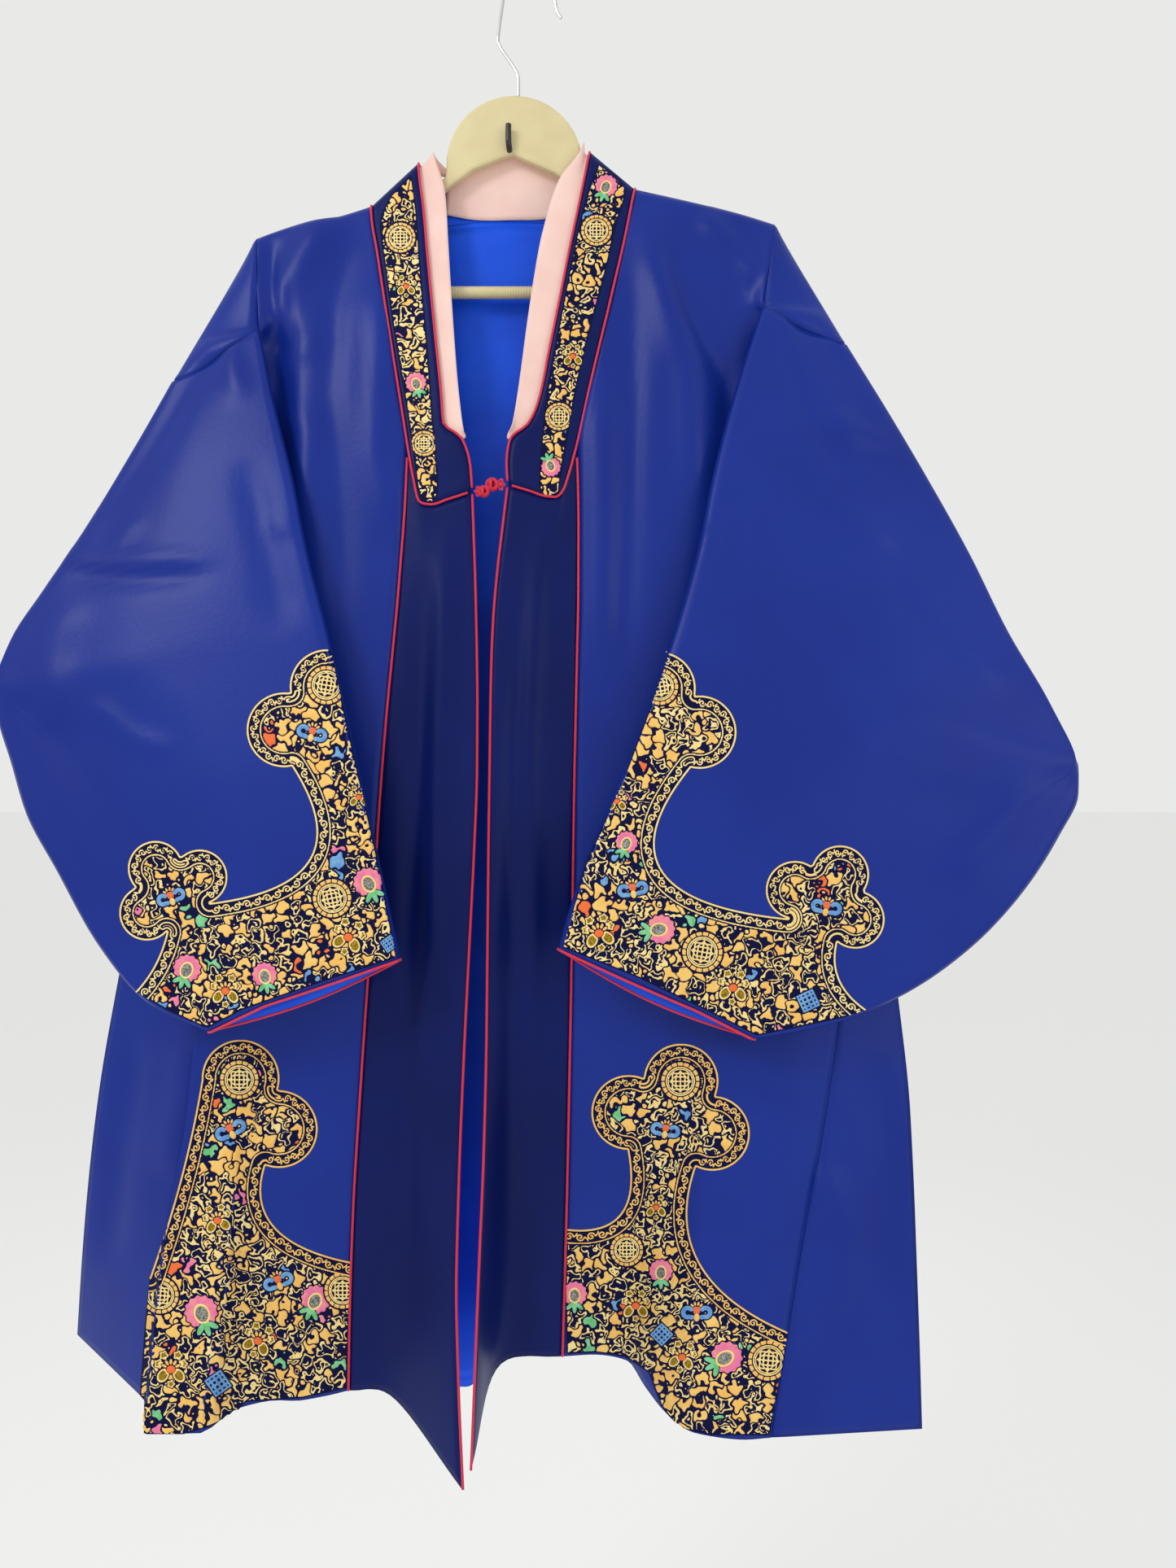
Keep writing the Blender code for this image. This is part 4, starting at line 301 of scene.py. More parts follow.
LEFT_HEM = {
    "front_edge": -1.2847, "centre_turn": -1.2415, "panel_seam": -1.2406, "valley": -1.2438, "turn": -1.2393,
    "ridge": -1.2470, "edge_fold": -1.2443, "side_seam": -1.2400, "side_fold": -1.2154, "back_seam": -1.2350,
    "back_tip": -1.2450, "back_neck_point": -1.2560, "back_centre": -1.2620,
}
LEFT_SLEEVE = (
    ((-0.2175, -0.036, -0.3868), (-0.3390, -0.017, -0.4099), (-0.3380, -0.012, -0.5968),
     (-0.2855, -0.029, -0.5987), 0.009),
    ((-0.1998, -0.048, -0.4488), (-0.3813, -0.027, -0.4895), (-0.3770, -0.026, -0.6090),
     (-0.2637, -0.040, -0.6194), 0.010),
    ((-0.1824, -0.060, -0.5239), (-0.4243, -0.039, -0.5641), (-0.4155, -0.037, -0.6210),
     (-0.2418, -0.049, -0.6400), 0.010),
    ((-0.1685, -0.067, -0.5721), (-0.4500, -0.0525, -0.6290), (-0.4543, -0.046, -0.6329),
     (-0.2350, -0.054, -0.6620), 0.010),
    ((-0.1532, -0.075, -0.6292), (-0.3950, -0.062, -0.6735), (-0.4392, -0.054, -0.6817),
     (-0.2700, -0.055, -0.6900), 0.010),
    ((-0.1373, -0.084, -0.6921), (-0.3500, -0.072, -0.7290), (-0.4177, -0.063, -0.7414),
     (-0.2775, -0.063, -0.7330), 0.010),
    ((-0.1234, -0.091, -0.7486), (-0.3030, -0.081, -0.7870), (-0.3785, -0.073, -0.8032),
     (-0.2510, -0.073, -0.7820), 0.009),
    ((-0.1102, -0.098, -0.8036), (-0.2580, -0.091, -0.8590), (-0.3239, -0.085, -0.8822),
     (-0.2170, -0.083, -0.8460), 0.008),
    ((-0.0981, -0.104, -0.8553), (-0.2090, -0.100, -0.8940), (-0.2556, -0.096, -0.9159),
     (-0.1769, -0.093, -0.8860), 0.006),
)


# Curves and surfaces

def spline(points, params, softness=None):
    """Points on a smooth curve through the given ones, at fractions of its chord length."""
    points = np.asarray(points, float)
    steps = np.linalg.norm(np.diff(points, axis=0), axis=1)
    knots = np.concatenate([[0], np.cumsum(steps)]) / steps.sum()
    return hermite(points, knots, np.asarray(params, float), softness)


def hermite(points, knots, params, softness=None):
    """Cubic curve through points at given knots; softness scales the tangent at each point."""
    slopes = np.diff(points, axis=0) / np.diff(knots)[:, None]
    tangents = np.empty_like(points)
    tangents[0] = slopes[0]
    tangents[-1] = slopes[-1]
    left = np.diff(knots)[:-1, None]
    right = np.diff(knots)[1:, None]
    tangents[1:-1] = (slopes[:-1] * right + slopes[1:] * left) / (left + right)
    if softness is not None:
        tangents *= np.asarray(softness)[:, None]
    place = np.clip(np.searchsorted(knots, params, side="right") - 1, 0, len(knots) - 2)
    width = (knots[place + 1] - knots[place])[:, None]
    t = ((params - knots[place])[:, None]) / width
    return ((2 * t**3 - 3 * t**2 + 1) * points[place] + (t**3 - 2 * t**2 + t) * width * tangents[place]
            + (3 * t**2 - 2 * t**3) * points[place + 1] + (t**3 - t**2) * width * tangents[place + 1])


def along(polyline, fractions):
    """Points at fractions of a polyline's length."""
    polyline = np.asarray(polyline, float)
    steps = np.linalg.norm(np.diff(polyline, axis=0), axis=1)
    places = np.concatenate([[0], np.cumsum(steps)]) / steps.sum()
    return np.stack([np.interp(fractions, places, polyline[:, k]) for k in range(3)], axis=1)


def even(count):
    """Fractions 0 to 1 in equal steps."""
    return np.linspace(0, 1, count + 1)


def rows_across(guides, knots, columns, softness=None):
    """A grid whose rows pass smoothly through the guide lines at the given column fractions."""
    guides = np.asarray(guides, float)
    rows = []
    for row in range(guides.shape[1]):
        rows.append(hermite(guides[:, row], np.asarray(knots, float), columns, softness))
    return np.array(rows)


def over_shoulder(guide):
    """A guide line with a round start: its first step becomes a quarter of an oval over the hanger."""
    guide = np.asarray(guide, float)
    step = guide[1] - guide[0]
    arc = []
    for angle in np.radians((0, 25, 50, 75)):
        arc.append(guide[0] + step * (1 - np.cos(angle), np.sin(angle), 1 - np.cos(angle)))
    return np.vstack([arc, guide[1:]])


def onto_shoulder(guide):
    """A guide line with a round end: its last step becomes a quarter of an oval up to the hanger's top."""
    return over_shoulder(np.asarray(guide, float)[::-1])[::-1]


def unit(vectors):
    """Vectors scaled to length 1."""
    return vectors / np.maximum(np.linalg.norm(vectors, axis=-1, keepdims=True), 1e-12)


# Lines of the two halves

def body_line(body, hem, name, underarm_z):
    """A line of the body below the underarm, at the low rows."""
    xy = np.array(body[name])
    z = underarm_z + (hem[name] - underarm_z) * np.array(BODY_LEVELS)
    points = np.column_stack([xy, z])
    return hermite(points, np.array(BODY_LEVELS), np.array(LOW_ROWS))


def front_panel_grid(half, body, hem):
    """Front panel: rows from the shoulder to the hem, columns from the collar or panel seam out."""
    front_rows = np.array(FRONT_ROWS)
    knee = front_rows[JOIN_ROW]
    inner = np.vstack([spline(over_shoulder(half["front_inner"]), front_rows[:JOIN_ROW + 1] / knee),
                       spline(half["front_below_join"], (front_rows[JOIN_ROW + 1:] - knee) / (1 - knee))])
    guides = [inner] + [spline(over_shoulder(half[name]), front_rows)
                        for name in ("front_a", "front_b", "front_tip")]
    guides.append(fold_and_seam(half["tip_fold"], half["front_armhole"]))
    columns = even(SHOULDER_COLS)
    upper = rows_across(guides, FRONT_KNOTS, columns)
    upper[0] = along(half["shoulder_line"], columns)
    names = ("panel_seam", "valley", "turn", "ridge", "edge_fold", "side_seam")
    lower_guides = [body_line(body, hem, name, upper[-1, 0, 2]) for name in names]
    knots = (*FRONT_KNOTS[:4], (FRONT_KNOTS[3] + 1) / 2, 1)
    lower = rows_across(lower_guides, knots, columns)
    # The lower rows start from the last upper row and take over their own guides within the first quarter
    blend = np.clip(np.array(LOW_ROWS) / .25, 0, 1)[:, None, None]
    start = upper[-1][None] - lower[0][None]
    lower = lower + start * (1 - blend) ** 2
    return np.vstack([upper, lower[1:]])


def fold_and_seam(fold, seam):
    """The front's outer edge: down the fold below the shoulder tip, then down the armhole seam."""
    rows = np.array(FRONT_ROWS)
    split = rows[FOLD_ROW]
    return np.vstack([spline(fold, rows[:FOLD_ROW + 1] / split),
                      spline(seam, (rows[FOLD_ROW + 1:] - split) / (1 - split))])


def back_rows():
    """Height fractions of the back's upper rows: the fold, the top seam and the rear seam."""
    first = np.array(FRONT_ROWS[:FOLD_ROW + 1])
    top = first[-1] + (OUTER_FOLD_LEVEL - first[-1]) * np.array(TOP_SEAM[1:])
    rear = OUTER_FOLD_LEVEL + (1 - OUTER_FOLD_LEVEL) * np.array(REAR_SEAM)
    return np.concatenate([first, top, rear])


def wrapped_row(tip, fold, end, bulge):
    """A row's wing: from the tip line round the outer fold, and back in front to the armhole's edge."""
    first = fold - tip
    last = end - fold
    depth = FOLD_DEPTH * min(1, np.linalg.norm(last) / .006)
    start = fold - unit(first) * min(FOLD_CUT, .45 * np.linalg.norm(first)) + (0, depth, 0)
    stop = fold + unit(last) * min(FOLD_CUT, .40 * np.linalg.norm(last)) - (0, depth, 0)
    middle = (stop + end) / 2 - (0, bulge * min(1, np.linalg.norm(last) / .05), 0)
    apex = fold
    return np.array([start, apex, stop, middle, end])


def back_half_grid(half, body, hem, front):
    """Half of the back panel: rows from the neck to the hem, columns from the centre outward."""
    rows = back_rows()
    last_wing = FOLD_ROW + len(TOP_SEAM) - 1
    edge = np.vstack([front[:FOLD_ROW + 1, -1], spline(half["back_armhole_front"], TOP_SEAM)[1:],
                      spline(half["back_armhole_rear"], REAR_SEAM)])
    centre = spline(half["back_centre"], rows)
    neck, tip = [spline(over_shoulder(half[name]), rows) for name in ("back_neck_point", "back_tip")]
    neckline = spline(half["back_neck"], NECK_SHARES)
    shoulder_tip, outer_fold = np.array(half["shoulder_tip"]), np.array(half["outer_fold"])
    columns = np.concatenate([np.array(NECK_SHARES) * NECK_AT,
                              NECK_AT + even(SHOULDER_COLS)[1:] * (1 - NECK_AT)])
    upper = rows_across([centre, neck, tip], (0, NECK_AT, 1), columns)
    drop = np.linalg.norm(neck - neck[0], axis=1)
    fade = np.exp(-(drop / NECK_FADE) ** 2)[:, None, None]
    top = np.vstack([neckline[:-1], front[0]])
    upper = upper + fade * (top - upper[0])[None]
    wings = [np.repeat(shoulder_tip[None], WING_COLS, axis=0)]
    for row in range(1, len(rows)):
        if row < last_wing:
            fold = shoulder_tip + (outer_fold - shoulder_tip) * rows[row] / OUTER_FOLD_LEVEL
            wings.append(wrapped_row(upper[row, -1], fold, edge[row], WING_BULGE))
        else:
            weight = WING_RELAX[min(row - last_wing, len(WING_RELAX) - 1)]
            width = np.linalg.norm(edge[row] - upper[row, -1])
            settled = 1 - FOLD_CUT / width * np.array(WING_END)
            shares = settled * weight + even(WING_COLS)[1:] * (1 - weight)
            wings.append(along([upper[row, -1], edge[row]], shares))
    upper = np.concatenate([upper, np.array(wings)], axis=1)
    total = NECK_COLS + SHOULDER_COLS + WING_COLS
    neck_at, tip_at = NECK_COLS / total, (NECK_COLS + SHOULDER_COLS) / total
    columns = np.concatenate([np.array(NECK_SHARES) * neck_at,
                              neck_at + even(SHOULDER_COLS)[1:] * (tip_at - neck_at),
                              tip_at + even(WING_COLS)[1:] * (1 - tip_at)])
    names = ("back_centre", "back_neck_point", "back_tip", "back_seam")
    lower_guides = [body_line(body, hem, name, UNDERARM_LEVEL) for name in names]
    lower = rows_across(lower_guides, (0, neck_at, tip_at, 1), columns)
    blend = np.clip(np.array(LOW_ROWS) / .3, 0, 1)[:, None, None]
    lower = lower + (upper[-1] - lower[0])[None] * (1 - blend) ** 2
    return np.vstack([upper, lower[1:]])


def band_grid(half, front):
    """Collar band: rows from the centre back over the shoulder to its bottom edge."""
    outer = np.vstack([spline(half["back_neck"], NECK_SHARES), front[1:JOIN_ROW + 1, 0],
                       spline(half["collar_corner"], even(WEDGE_COLS))[1:]])
    shares = np.array(FRONT_ROWS[:JOIN_ROW + 1]) / FRONT_ROWS[JOIN_ROW]
    inner = np.vstack([spline(half["collar_inner_back"], NECK_SHARES),
                       spline(over_shoulder(half["collar_inner"]), shares)[1:],
                       spline(half["collar_inner_low"], even(WEDGE_COLS))[1:]])
    bottom = spline(half["collar_bottom"], even(BAND_COLS))
    top = along([outer[0], inner[0]], even(BAND_COLS))
    grid = outer[:, None] + (inner - outer)[:, None] * even(BAND_COLS)[None, :, None]
    fade = np.linspace(0, 1, len(outer)) ** 8
    grid += fade[:, None, None] * (bottom - grid[-1])[None]
    grid[0] = top
    return grid


def centre_panel_grid(body, hem, front, band):
    """Centre-front panel: columns from the panel seam to the free front edge, rows to the hem."""
    top = np.vstack([band[-1 - WEDGE_COLS:, 0], band[-1, 1:]])
    seam = front[JOIN_ROW:, 0]
    seam_z = seam[:, 2]
    share = (seam_z[0] - seam_z) / (seam_z[0] - seam_z[-1])
    level_z = np.array([UNDERARM_LEVEL + (hem["front_edge"] - UNDERARM_LEVEL) * level
                        for level in BODY_LEVELS])
    edge_guide = np.vstack([[top[-1]], np.column_stack([np.array(body["front_edge"]), level_z])])
    edge = spline(edge_guide, share)
    turn_z = np.array([UNDERARM_LEVEL + (hem["centre_turn"] - UNDERARM_LEVEL) * level
                       for level in BODY_LEVELS])
    turn_guide = np.vstack([[top[WEDGE_COLS]], np.column_stack([np.array(body["centre_turn"]), turn_z])])
    turn = spline(turn_guide, share)
    turn_at = WEDGE_COLS / (WEDGE_COLS + BAND_COLS)
    columns = even(WEDGE_COLS + BAND_COLS)
    grid = rows_across([seam, turn, edge], (0, turn_at, 1), columns)
    fade = np.exp(-(share / .12) ** 2)[:, None, None]
    return grid + fade * (top - grid[0])[None]


def side_panel_grid(half, body, hem, front, back_half):
    """Side gusset: columns from the front side seam round the fold to the back side seam."""
    front_seam = front[len(FRONT_ROWS) - 1:, -1]
    back_seam = back_half[len(back_rows()) - 1:, -1]
    cap = np.array(half["underarm"])
    fold = body_line(body, hem, "side_fold", cap[2])
    fold[0] = cap
    grid = []
    for row in range(len(fold)):
        sides = []
        for seam in (front_seam[row], back_seam[row]):
            width = np.linalg.norm(fold[row] - seam)
            last = 1 - min(SIDE_FOLD_CUT / width, SIDE_FOLD_SHARE)
            shares = np.array([0, last / 3, last * 2 / 3, last, 1])
            sides.append(seam + (fold[row] - seam) * shares[:, None])
        grid.append(np.vstack([sides[0], sides[1][-2::-1]]))
    return np.array(grid)


def sleeve_grid(half, table, front, back_half):
    """Sleeve: each row is a closed loop from the top fold over the hidden layer, round the underarm
    seam and back over the layer that shows."""
    seam_rows = np.array(FRONT_ROWS[FOLD_ROW:])
    hidden_shares = (seam_rows - seam_rows[0]) / (1 - seam_rows[0])
    first = np.vstack([front[FOLD_ROW:len(FRONT_ROWS), -1], [half["underarm"]],
                       back_half[FOLD_ROW + 1:len(back_rows()), -1][::-1]])
    loops = [first]
    side = np.sign(half["underarm"][0])
    toward = np.array([0, -1.0, 0])
    for place, (inner, outer, seam, under, bulge) in enumerate(table):
        inner, outer, seam = np.array(inner), np.array(outer), np.array(seam)
        out = unit(seam - inner)
        under = np.array(under)
        if place < ELBOW_PLACE:
            hidden_end = seam + unit(under - seam) * SLEEVE_EDGE
            shown_end = seam + unit(outer - seam) * SLEEVE_EDGE
            rear_start = outer + unit(seam - outer) * SLEEVE_EDGE - toward * SLEEVE_EDGE
            fold_in = outer + unit(inner - outer) * SLEEVE_EDGE + toward * SLEEVE_EDGE
            rear = [outer, rear_start, (outer + seam) / 2 - toward * .009, shown_end]
        elif place == ELBOW_PLACE:
            hidden_end = seam - out * SLEEVE_EDGE - toward * SLEEVE_EDGE
            rear_start = outer + (seam - outer) * REAR_START
            fold_in = outer + unit(inner - outer) * SLEEVE_EDGE + toward * .001
            rear = [outer, outer + (seam - outer) * REAR_MIDDLE]
        else:
            hidden_end = seam - out * SLEEVE_EDGE - toward * SLEEVE_EDGE
            shown_end = seam - out * SLEEVE_EDGE + toward * SLEEVE_EDGE
            rear_start = None
            fold_in = None
            rear = [outer, (outer + seam) / 2 + toward * REAR_BOW, shown_end]
        hidden = [inner, inner + unit(under - inner) * SLEEVE_EDGE - toward * SLEEVE_EDGE, under, hidden_end]
        shown = [inner, inner + unit(outer - inner) * SLEEVE_EDGE + toward * SLEEVE_EDGE,
                 (inner + outer) / 2 + toward * bulge, outer]
        if fold_in is not None:
            shown.insert(3, fold_in)
        hidden_points = bent_path(hidden, hidden_shares)
        rear_points = along(rear, REAR_SEAM)
        if fold_in is None:
            shown_points = bent_path(shown, TOP_SEAM)
        else:
            shown_points = np.vstack([bent_path(shown[:-1], TOP_SEAM[:-1]), [outer]])
            rear_points[0] = rear_start
        if place == len(table) - 1:
            # The far layer of the cuff hangs a little lower than the near one
            drop = np.sin(np.pi * hidden_shares) * .006
            hidden_points = hidden_points - drop[:, None] * np.array([HIDDEN_SLANT * side, 0, 1])
        loops.append(np.vstack([hidden_points, [seam], rear_points[::-1], shown_points[:0:-1]]))
    loops = np.array(loops)
    knots = np.linspace(0, 1, len(loops))
    grid = np.empty((len(SLEEVE_STATIONS), loops.shape[1], 3))
    for column in range(loops.shape[1]):
        grid[:, column] = hermite(loops[:, column], knots, np.array(SLEEVE_STATIONS))
    return grid


def bent_path(points, fractions):
    """A path that bends sharply at its second point, and is smooth from there on."""
    fine = spline(points[1:], np.linspace(0, 1, 80))
    rest = np.array(fractions[1:])
    return np.vstack([[points[0]], along(fine, (rest - rest[0]) / (rest[-1] - rest[0]))])


def edge_side(points, normals, inner):
    """Directions in the surface that point out over an edge, square to it."""
    tangents = unit(np.gradient(points, axis=0))
    return side_of(tangents, points, normals, inner)


def side_of(tangents, points, normals, inner):
    """Directions square to the tangents and the normals, away from the inner points."""
    side = unit(np.cross(tangents, normals))
    away = ((points - inner) * side).sum(axis=-1, keepdims=True)
    return side * np.where(away < 0, -1, 1)


def along_shares(path):
    """The fraction of the path's length at each of its points."""
    steps = np.linalg.norm(np.diff(path, axis=0), axis=1)
    return np.concatenate([[0], np.cumsum(steps)]) / steps.sum()


# Seeing: the camera and the plane of its picture, in picture points

CAMERA = np.array((0.0526, -1.05, -0.7151))
FOCUS = 1447.0
CENTRE = np.array((722.5, 963.5))


def seen(points):
    """Where points of the frame lie in the picture."""
    depth = points[..., 1] - CAMERA[1]
    return np.stack([CENTRE[0] + FOCUS * (points[..., 0] - CAMERA[0]) / depth,
                     CENTRE[1] - FOCUS * (points[..., 2] - CAMERA[2]) / depth], axis=-1)


def sight(picture):
    """Directions from the camera through places in the picture, one unit deep."""
    picture = np.asarray(picture, float)
    return np.stack([(picture[..., 0] - CENTRE[0]) / FOCUS, np.ones(picture.shape[:-1]),
                     -(picture[..., 1] - CENTRE[1]) / FOCUS], axis=-1)


# Shells

CELL = 0.007                # size of a shell's faces
SHELL_WALL = 0.0009         # thickness of the cloth


def finer(points, step):
    """Points along smooth curves through the given ones, without overshoot, down the first axis."""
    lengths = np.linalg.norm(np.diff(points, axis=0), axis=-1).reshape(len(points) - 1, -1).mean(axis=1)
    widths = np.maximum(lengths, 1e-5)
    shape = (-1,) + (1,) * (points.ndim - 1)
    slopes = np.diff(points, axis=0) / widths.reshape(shape)
    tangents = np.zeros_like(points)
    tangents[0], tangents[-1] = slopes[0], slopes[-1]
    before, after = widths[:-1].reshape(shape), widths[1:].reshape(shape)
    left, right = slopes[:-1], slopes[1:]
    same = left * right > 0
    safe_left, safe_right = np.where(same, left, 1), np.where(same, right, 1)
    mean = 3 * (before + after) / ((2 * after + before) / safe_left + (after + 2 * before) / safe_right)
    tangents[1:-1] = np.where(same, mean, 0)
    result = [points[:1]]
    for i, width in enumerate(widths):
        count = max(1, int(math.ceil(width / step)))
        t = (np.arange(1, count + 1) / count).reshape(shape)
        result.append((2 * t**3 - 3 * t**2 + 1) * points[i] + (t**3 - 2 * t**2 + t) * width * tangents[i]
                      + (3 * t**2 - 2 * t**3) * points[i + 1] + (t**3 - t**2) * width * tangents[i + 1])
    return np.concatenate(result)


def fine_grid(grid, step=CELL):
    """A grid with finer rows and columns."""
    tall = finer(grid, step)
    return np.swapaxes(finer(np.swapaxes(tall, 0, 1), step), 0, 1)


def grid_normals(grid, flip):
    """Unit normals of a grid of points."""
    down = np.gradient(grid, axis=0)
    over = np.gradient(grid, axis=1)
    normals = np.cross(over, down)
    lengths = np.linalg.norm(normals, axis=-1, keepdims=True)
    weak = lengths[..., 0] < 1e-12
    normals = normals / np.maximum(lengths, 1e-12)
    if weak.any():
        normals[weak] = (0, -1, 0)
    return -normals if flip else normals


def line_distance(places, line):
    """Distance of places from a broken line, and how far along it they lie, from 0 to 1."""
    line = np.asarray(line, float)
    steps = np.linalg.norm(np.diff(line, axis=0), axis=1)
    starts = np.concatenate([[0], np.cumsum(steps)])
    best = np.full(places.shape[:-1], 1e9)
    share = np.zeros(places.shape[:-1])
    for i, length in enumerate(steps):
        if length < 1e-9:
            continue
        way = (line[i + 1] - line[i]) / length
        rel = places - line[i]
        along_it = np.clip(rel @ way, 0, length)
        distance = np.linalg.norm(rel - along_it[..., None] * way, axis=-1)
        nearer = distance < best
        best = np.where(nearer, distance, best)
        share = np.where(nearer, (starts[i] + along_it) / starts[-1], share)
    return best, share


# Creases: piece, half width in picture points, height in mm (to the viewer), line in the picture
CREASES = (
    ("back_panel:rear", 7, -1.4, ((640, 240), (640, 700), (632, 1200), (620, 1760))),
    ("back_panel:rear", 26, 6.0, ((540, 330), (525, 700), (500, 1200), (480, 1740))),
    ("back_panel:rear", 20, -5.0, ((470, 300), (450, 640), (420, 1100), (400, 1700))),
    ("back_panel:rear", 24, 5.5, ((400, 420), (380, 760), (340, 1200), (300, 1720))),
    ("back_panel:rear", 18, -4.5, ((330, 700), (300, 1050), (260, 1400), (230, 1700))),
    ("back_panel:rear", 22, 5.5, ((720, 300), (735, 720), (745, 1200), (760, 1740))),
    ("back_panel:rear", 20, -5.0, ((790, 320), (815, 700), (835, 1200), (860, 1720))),
    ("back_panel:rear", 24, 5.0, ((860, 380), (885, 760), (920, 1250), (940, 1740))),
    ("back_panel:rear", 26, -4.0, ((590, 260), (585, 420), (560, 560))),
    ("sleeve_l:rear", 20, 4.0, ((240, 520), (200, 700), (150, 900))),
    ("sleeve_l:rear", 18, -4.0, ((180, 560), (130, 720), (80, 860))),
    ("sleeve_l:rear", 20, 3.5, ((260, 700), (230, 860), (190, 1020))),
    ("sleeve_r:rear", 20, 4.0, ((1010, 540), (1060, 720), (1110, 900))),
    ("sleeve_r:rear", 18, -4.0, ((1070, 560), (1130, 700), (1190, 840))),
    ("sleeve_r:rear", 20, 3.5, ((1000, 720), (1040, 880), (1080, 1030))),
    ("back_lining", 7, -0.8, ((622, 262), (615, 379), (610, 480), (606, 600))),
    ("back_lining", 12, 1.5, ((585, 300), (580, 400), (590, 520))),
    ("back_lining", 14, -0.5, ((650, 300), (645, 380), (630, 480))),
    ("front_panel_l", 26, 9.0, ((412, 262), (385, 300), (350, 355), (338, 420))),
    ("front_panel_l", 14, -7.0, ((330, 290), (332, 360), (340, 440), (350, 520))),
    ("front_panel_l", 20, 5.0, ((392, 400), (352, 445), (356, 490), (374, 535), (371, 640))),
    ("front_panel_l", 16, -4.0, ((430, 300), (410, 380), (405, 480), (415, 600), (425, 760))),
    ("front_panel_l", 15, 4.0, ((462, 350), (467, 430), (463, 560), (480, 660))),
    ("front_panel_r", 24, 8.0, ((792, 250), (805, 320), (848, 450), (858, 620))),
    ("front_panel_r", 15, -6.0, ((815, 290), (850, 380), (892, 465), (900, 540))),
    ("front_panel_r", 16, 6.0, ((858, 262), (898, 305), (930, 350))),
    ("front_panel_r", 18, -5.0, ((770, 330), (775, 480), (770, 640), (762, 820))),
    ("front_panel_r", 20, 4.5, ((735, 450), (745, 640), (738, 840))),
    ("sleeve_l", 16, 3.0, ((262, 337), (272, 420), (300, 497))),
    ("sleeve_l", 12, 2.5, ((60, 675), (120, 690), (180, 687), (270, 690))),
    ("sleeve_l", 12, -2.5, ((70, 700), (160, 712), (260, 705))),
    ("sleeve_l", 9, 2.0, ((175, 640), (155, 652), (140, 670))),
    ("sleeve_l", 8, 2.0, ((330, 636), (345, 648), (360, 650))),
    ("sleeve_l", 14, -2.5, ((120, 640), (180, 560), (232, 480))),
    ("sleeve_l", 20, 3.0, ((95, 730), (60, 800), (70, 900))),
    ("sleeve_l", 18, -3.0, ((300, 560), (330, 680), (352, 780))),
    ("sleeve_l", 12, 2.2, ((110, 860), (160, 905), (215, 925))),
    ("sleeve_r", 14, 3.0, ((1012, 505), (1050, 530), (1098, 548))),
    ("sleeve_r", 12, -2.5, ((1000, 530), (1040, 552), (1090, 565))),
    ("sleeve_r", 14, 2.8, ((995, 600), (1050, 635), (1105, 668))),
    ("sleeve_r", 9, 2.0, ((852, 655), (870, 662), (895, 660))),
    ("sleeve_r", 12, -2.5, ((960, 420), (1000, 520), (1050, 600))),
    ("sleeve_r", 16, 2.8, ((1110, 700), (1180, 790), (1235, 850))),
    ("sleeve_r", 14, -2.5, ((905, 600), (900, 700), (880, 790))),
    ("sleeve_r", 20, 3.0, ((1160, 1080), (1230, 1010), (1280, 940))),
    ("side_panel_l", 22, 6.0, ((232, 1265), (226, 1340), (205, 1450))),
    ("side_panel_l", 18, -5.0, ((170, 1260), (150, 1400), (130, 1560))),
    ("side_panel_r", 18, 5.0, ((1010, 1430), (1040, 1500), (1030, 1620))),
    ("side_panel_r", 16, -4.0, ((1075, 1300), (1090, 1440), (1080, 1600))),
    ("centre_panel_l", 14, 4.0, ((548, 640), (540, 900), (530, 1150), (505, 1400))),
    ("centre_panel_l", 14, -4.0, ((520, 700), (512, 1000), (498, 1300), (500, 1560))),
    ("centre_panel_r", 12, 3.5, ((665, 640), (650, 900), (655, 1150), (650, 1400))),
    ("centre_panel_r", 12, -3.5, ((640, 700), (628, 1000), (628, 1300), (618, 1560))),
)

MILLIMETRE = 0.001
CREASE_FADE = 0.25          # a crease rises and dies away over this share of its line
FACING_GAIN = 2             # how soon a crease fades where the cloth turns away
FACING_FLOOR = 0.3
REAR_TROUGH = 0.0011        # the back's troughs stay this shallow, clear of the lining
SEAM_DIP = 0.0005           # how deep a pressed seam lies

# The edges of each piece that lie in a pressed seam
BOTH_SIDES = ((slice(None), 0), (slice(None), -1))
SEAM_EDGES = {"side_panel_l": BOTH_SIDES, "side_panel_r": BOTH_SIDES}


def creased(name, grid, normals):
    """The grid with the piece's creases pressed into the cloth that faces the viewer."""
    places = seen(grid)
    result = grid.copy()
    for side, toward in (("", -1), (":rear", 1)):
        rise = np.zeros(grid.shape[:-1])
        for piece, width, height, line in CREASES:
            if piece != name + side:
                continue
            distance, share = line_distance(places, line)
            ends = np.clip(np.minimum(share, 1 - share) / CREASE_FADE, 0, 1)
            rise += height * MILLIMETRE * np.exp(-(distance / width) ** 2) * np.sin(ends * math.pi / 2)
        if side:
            rise = np.maximum(rise, -REAR_TROUGH)
        facing = np.clip(toward * normals[..., 1] * FACING_GAIN - FACING_FLOOR, 0, 1)
        result += np.array((0, toward, 0)) * (rise * facing)[..., None]
    for edge in SEAM_EDGES.get(name, ()):
        result[edge] -= normals[edge] * SEAM_DIP
    return result


